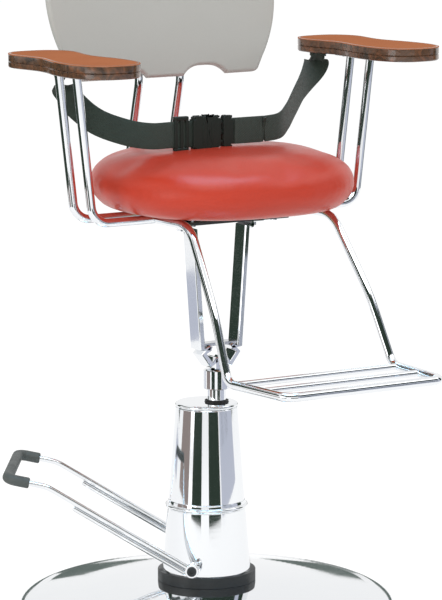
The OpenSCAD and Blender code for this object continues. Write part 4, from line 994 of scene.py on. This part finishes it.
def strap(name, node, path, thick=2.4, turned_up=False):
    """A webbing band with rounded selvedges, laid out in metres on its UV map."""
    stations, lengths = [], [0.0]
    for i, p in enumerate(path):
        ahead = heading(path, i)
        s = 1.0 if turned_up else min(1.0, i / len(path) / BELT_TURN)
        width = Vector((0, 1 - s, s))
        width = (width - ahead * width.dot(ahead)).normalized()
        stations.append(station(at_swivel(p), width, ahead))
        if i:
            lengths.append(lengths[-1] + (p - path[i - 1]).length)
    bm = bmesh.new()
    band = [(u * BELT_W / 2, thick / 2 * (1.0 if abs(u) < 0.96 else 0.55)) for u in np.linspace(-1, 1, 13)]
    rings, _, _ = sweep(bm, band + [(x, -y) for x, y in reversed(band)], stations)
    spot = {}
    for ring, place, along in zip(rings, stations, lengths):
        back = place.inverted()
        spot.update({v: (along * MM, (back @ v.co).x * MM) for v in ring})
    layer = bm.loops.layers.uv.new("cloth")
    for f in bm.faces:
        for corner in f.loops:
            corner[layer].uv = spot[corner.vert]
    finish(bm, name, "seat", node, "webbing", sharp=50, merge=0, flats=False)


def stitches(bm, a, b, count):
    """A row of thread stitches from a to b on the face of the webbing that looks forwards."""
    a, b = Vector(a), Vector(b)
    ahead = (b - a).normalized()
    for k in range(count):
        p = a.lerp(b, (k + 0.5) / count)
        lean = station(at_swivel(p), Vector((0, -1, 0)), ahead)
        half = (b - a).length / count * 0.34
        block(bm, (-0.28, -0.32, -half), (0.28, 0.32, half), 0.2, 1, lean)


def belts():
    strap("belt_strap_left", "belt_left", belt_route(-1, LEFT_RISE, [-95, -87, -50.3]))
    strap("belt_strap_right", "belt_right", belt_route(1, RIGHT_RISE, [70, 62, 5.3]))
    tail = [Vector((x, TAIL_Y - 0.25 * math.sin((x - 15) / 47 * math.pi), BELT_Z))
            for x in np.linspace(TAIL_X, TAIL_END, 18)]
    strap("belt_tail_strap", "belt_tail", tail, 2.3, turned_up=True)
    bm = bmesh.new()
    y, left, right, half = TAIL_Y - 1.45, 42.0, 58.0, 14.0
    box = [(left, -half), (right, -half), (right, half), (left, half)]
    for (xa, za), (xb, zb) in list(zip(box, box[1:] + box[:1])) + [(box[0], box[2]), (box[1], box[3])]:
        stitches(bm, (xa, y, BELT_Z + za), (xb, y, BELT_Z + zb), int(math.dist((xa, za), (xb, zb)) / 2.6))
    finish(bm, "belt_tail_stitching", "seat", None, "webbing", THREAD)


def mirrored(low, high):
    return (-high, -low), (low, high)


def buckle_block(bm, x0, x1, y0, y1, z0, z1, soft):
    """A rounded block in the buckle's own place: x from its low end, y and z from its middle."""
    block(bm, (x0, y0, z0), (x1, y1, z1), soft, 2, on_belt(BUCKLE_LOW))


def buckle_plate(bm, outline, y0, y1, soft):
    """A plate with a free outline in the buckle's own place."""
    slab(bm, outline, -y1, -y0, soft, 3, on_belt(BUCKLE_LOW) @ Matrix.Rotation(math.pi / 2, 4, "X"))


def socket_half():
    """Two waisted plates over a hollow middle."""
    bm = bmesh.new()
    half_h, waist = 25.4, 23.6
    plan = rounded([(0.1, -half_h), (17, -half_h), (21, -waist), (33, -waist), (37, -half_h), (46.9, -half_h),
                    (46.9, half_h), (37, half_h), (33, waist), (21, waist), (17, half_h), (0.1, half_h)],
                   [5, 4, 4, 4, 4, 5, 5, 4, 4, 4, 4, 5], 4)
    for y0, y1 in mirrored(4.0, 6.4):
        buckle_plate(bm, plan, y0, y1, 1.0)
    for x in (16, 23.5, 31):
        buckle_block(bm, x, x + 2.2, -7.0, -5.6, -15, 15, 0.6)
    for x0, x1, z0, z1 in ((1.5, 18.6, 19.5, 24.2), (35.4, 45.6, 21.2, 24.2)):
        for a, b in mirrored(z0, z1):
            buckle_block(bm, x0, x1, -4.4, 4.4, a, b, 0.4)
    buckle_block(bm, 7.3, 11.8, -4.4, 4.4, -20, 20, 0.5)
    for y0, y1 in mirrored(1.8, 4.6):
        buckle_block(bm, 0.8, 7.6, y0, y1, -20, 20, 0.7)
    finish(bm, "buckle_socket_half", "seat", "buckle_body", "buckle_plastic")


def plug_half():
    """The tongue, its two plates and its guide bar."""
    bm = bmesh.new()
    plan = rounded([(52.1, -23.9), (60, -23.9), (68.9, -21.5), (68.9, 21.5), (60, 23.9), (52.1, 23.9)],
                   [2.5, 4, 5, 5, 4, 2.5], 4)
    for y0, y1 in mirrored(1.8, 4.9):
        buckle_plate(bm, plan, y0, y1, 1.0)
    for a, b in mirrored(19.6, 23.4):
        buckle_block(bm, 52.6, 67.5, -4.0, 4.0, a, b, 0.6)
    buckle_block(bm, 52.4, 61.8, -4.0, 4.0, -20, 20, 0.5)
    buckle_block(bm, 15.2, 53.5, -2.4, 2.4, -2.9, 2.9, 0.8)
    finish(bm, "buckle_plug_half", "seat", "buckle_tongue", "buckle_plastic")


def prong(flip, label):
    """A sprung prong with a ribbed pad in the socket's window."""
    bm = bmesh.new()
    place = on_belt(BUCKLE_LOW) @ Matrix.Diagonal((1, 1, flip, 1))
    block(bm, (20.8, -3.4, 12.1), (51.6, 3.4, 15.9), 0.7, 2, place)
    block(bm, (20.8, -3.4, 12.3), (32.6, 3.4, 25.1), 1.6, 4, place)
    for k in range(4):
        block(bm, (22.4 + 2.4 * k, -2.9, 24.6), (23.5 + 2.4 * k, 2.9, 25.3), 0.3, 1, place)
    finish(bm, f"buckle_prong_{label}", f"{label} prong", f"prong_{label}", "buckle_plastic")


def slider():
    """Three-bar strap slider."""
    bm = bmesh.new()
    for x0, x1 in ((-11.9, -7.2), (-2.4, 2.4), (7.2, 11.9)):
        for y0, y1 in mirrored(1.65, 3.9):
            block(bm, (x0, y0, -20.5), (x1, y1, 20.5), 0.9, 3, on_belt(SLIDER_X))
    for z0, z1 in mirrored(19.5, 25.9):
        block(bm, (-11.9, -3.9, z0), (11.9, 3.9, z1), 1.7, 4, on_belt(SLIDER_X))
    finish(bm, "belt_slider_frame", "seat", "belt_slider", "buckle_plastic")


belts()
socket_half()
plug_half()
prong(1, "upper")
prong(-1, "lower")
slider()

# ---- stage, light and camera

WHITE = (1, 1, 1, 1)


def stage_piece(bm, name, surface):
    """A piece of the stage, which is no part of the chair."""
    o = mesh_object(bm, name, surface)
    return o


def seen_mask(tree):
    path = tree.nodes.new("ShaderNodeLightPath").outputs
    both = math_node(tree, "MAXIMUM", path["Is Camera Ray"], path["Is Glossy Ray"])
    return math_node(tree, "MAXIMUM", both, path["Is Transmission Ray"])


def mix_shader(tree, share, a, b):
    n = tree.nodes.new("ShaderNodeMixShader")
    for socket, value in zip(n.inputs, (share, a.outputs[0], b.outputs[0])):
        feed(tree, socket, value)
    return n.outputs[0]


def floor_material():
    """Pale floor that glows just enough to be seen white round the chair's shadow."""
    m = bpy.data.materials.new("pale floor")
    tree, surface = blank_tree(m)
    plain = add_node(tree, "ShaderNodeBsdfDiffuse", Color=(0.8, 0.8, 0.8, 1))
    shown = add_node(tree, "ShaderNodeBsdfDiffuse", Color=(0.4, 0.4, 0.4, 1))
    glow = add_node(tree, "ShaderNodeEmission", Color=WHITE, Strength=0.72)
    lift = tree.nodes.new("ShaderNodeAddShader")
    feed(tree, lift.inputs[0], shown.outputs[0])
    feed(tree, lift.inputs[1], glow.outputs[0])
    feed(tree, surface, mix_shader(tree, seen_mask(tree), plain, lift))
    return m


def card_material(name, colour, strength=1.0):
    m = bpy.data.materials.new(name)
    tree, surface = blank_tree(m)
    feed(tree, surface, add_node(tree, "ShaderNodeEmission", Color=colour, Strength=strength).outputs[0])
    return m


def studio():
    scene = bpy.context.scene
    scene.world = bpy.data.worlds.new("white room")
    tree, surface = blank_tree(scene.world, "ShaderNodeOutputWorld")
    soft = add_node(tree, "ShaderNodeBackground", Color=WHITE, Strength=0.76)
    white = add_node(tree, "ShaderNodeBackground", Color=WHITE, Strength=1.0)
    feed(tree, surface, mix_shader(tree, seen_mask(tree), soft, white))
    bm = bmesh.new()
    bmesh.ops.create_grid(bm, x_segments=1, y_segments=1, size=30.0)
    stage_piece(bm, "floor", floor_material())
    scene.view_settings.view_transform = "Standard"


CAMERA_PLACE, CAMERA_AHEAD = (-2.738, -4.3428, 1.2827), (0.5301, 0.8331, -0.1578)
FOCAL_PX, PICTURE_H, SENSOR_H = 3542.2, 600.0, 36.0
VIEW_DIR = Vector((-0.536, -0.844, 0)).normalized()
VIEW_RIGHT = Vector((0.8437, -0.5369, 0)).normalized()


def card(name, a0, a1, reach, low, high, surface, spread=0.0):
    """A curved card seen only in reflections. Its reach grows by spread from its low to its high edge, and its
    angles run from the camera's side, positive to the camera's right."""
    d = VIEW_DIR * math.cos(math.radians(a0)) + VIEW_RIGHT * math.sin(math.radians(a0))
    bm = bmesh.new()
    edge = [d * reach + Vector((0, 0, low)), d * (reach + spread) + Vector((0, 0, high))]
    verts, edges = wire(bm, edge, closed=False)
    bmesh.ops.spin(bm, geom=verts + edges, cent=(0, 0, 0), axis=(0, 0, 1), angle=math.radians(a1 - a0),
                   steps=16)
    o = stage_piece(bm, f"card {name}", surface)
    o.visible_camera = o.visible_diffuse = o.visible_shadow = o.visible_transmission = False


def lamp(name, place, aim, size, power):
    data = bpy.data.lights.new(name, "AREA")
    data.shape = "RECTANGLE"
    data.size, data.size_y = size
    data.energy = power
    o = new_object(name, data)
    o.location = place
    o.rotation_euler = (Vector(aim) - Vector(place)).to_track_quat("-Z", "Y").to_euler()


def camera():
    data = bpy.data.cameras.new("camera")
    data.sensor_fit = "VERTICAL"
    data.sensor_height = SENSOR_H
    data.lens = FOCAL_PX * SENSOR_H / PICTURE_H
    data.clip_end = 100.0
    o = new_object("camera", data)
    o.location = CAMERA_PLACE
    o.rotation_euler = Vector(CAMERA_AHEAD).to_track_quat("-Z", "Y").to_euler()
    bpy.context.scene.camera = o


studio()
DARK_CARD = card_material("dark card", srgb(50, 62, 54))
TAN_CARD = card_material("tan card", srgb(150, 138, 134))
LAVENDER_CARD = card_material("lavender card", srgb(196, 200, 214))
FLOOR_CARD = card_material("floor card", srgb(104, 114, 110))
STRIP_CARD = card_material("overhead strip", (0.4, 0.74, 1.0, 1.0), 9.0)
FRONT = 1.3
for label, a0, a1, reach, low, high, surface in (
        ("left back", -132, -112, 2.6, 0.0, 2.4, DARK_CARD),
        ("left tan", -92, -56, FRONT, 0.055, 0.33, TAN_CARD),
        ("left rods", -125, -50, 0.62, 0.52, 0.8, DARK_CARD),
        ("front left", -44, -15, FRONT, 0.055, 0.34, DARK_CARD),
        ("front high", -55, 50, FRONT, 0.75, 1.6, DARK_CARD),
        ("front right", 7, 42, FRONT, 0.055, 0.34, DARK_CARD),
        ("right yoke", 50, 80, FRONT, 0.17, 0.5, DARK_CARD),
        ("right high", 50, 85, FRONT, 0.72, 1.25, DARK_CARD),
        ("right pale", 46, 101, 3.2, 0.0, 3.0, LAVENDER_CARD),
        ("right low", 46, 101, FRONT, 0.055, 0.34, LAVENDER_CARD),
        ("right line", 101, 121, 3.0, 0.0, 2.2, DARK_CARD)):
    card(label, a0, a1, reach, low, high, surface)
REAR_CARDS, REAR_START, REAR_STEP, REAR_END = 16, 3.6, 0.42, 30
for step in range(REAR_CARDS):
    near, high = REAR_START + REAR_STEP * step, 0.01 + 0.017 * step
    far = near + REAR_STEP if step < REAR_CARDS - 1 else REAR_END
    card(f"rear right {step}", 180 - far, 180 - near, 2.0, 0.0, high, FLOOR_CARD)
    card(f"rear left {step}", near - 180, far - 180, 2.0, 0.0, high, FLOOR_CARD)
card("overhead", -90, 90, 0.55, 3.06, 3.06, STRIP_CARD, spread=0.95)
card("floor left", -125, -109, 1.6, 0.004, 0.004, LAVENDER_CARD, spread=0.6)
lamp("key", (-1.6, -2.6, 3.4), (0, 0, 0.6), (2.6, 1.6), 40)
lamp("fill", (2.6, -1.6, 2.4), (0, 0, 0.5), (1.8, 1.8), 14)
lamp("left fill", (-2.8, -0.6, 0.9), (0, 0, 0.6), (1.6, 1.6), 16)
camera()
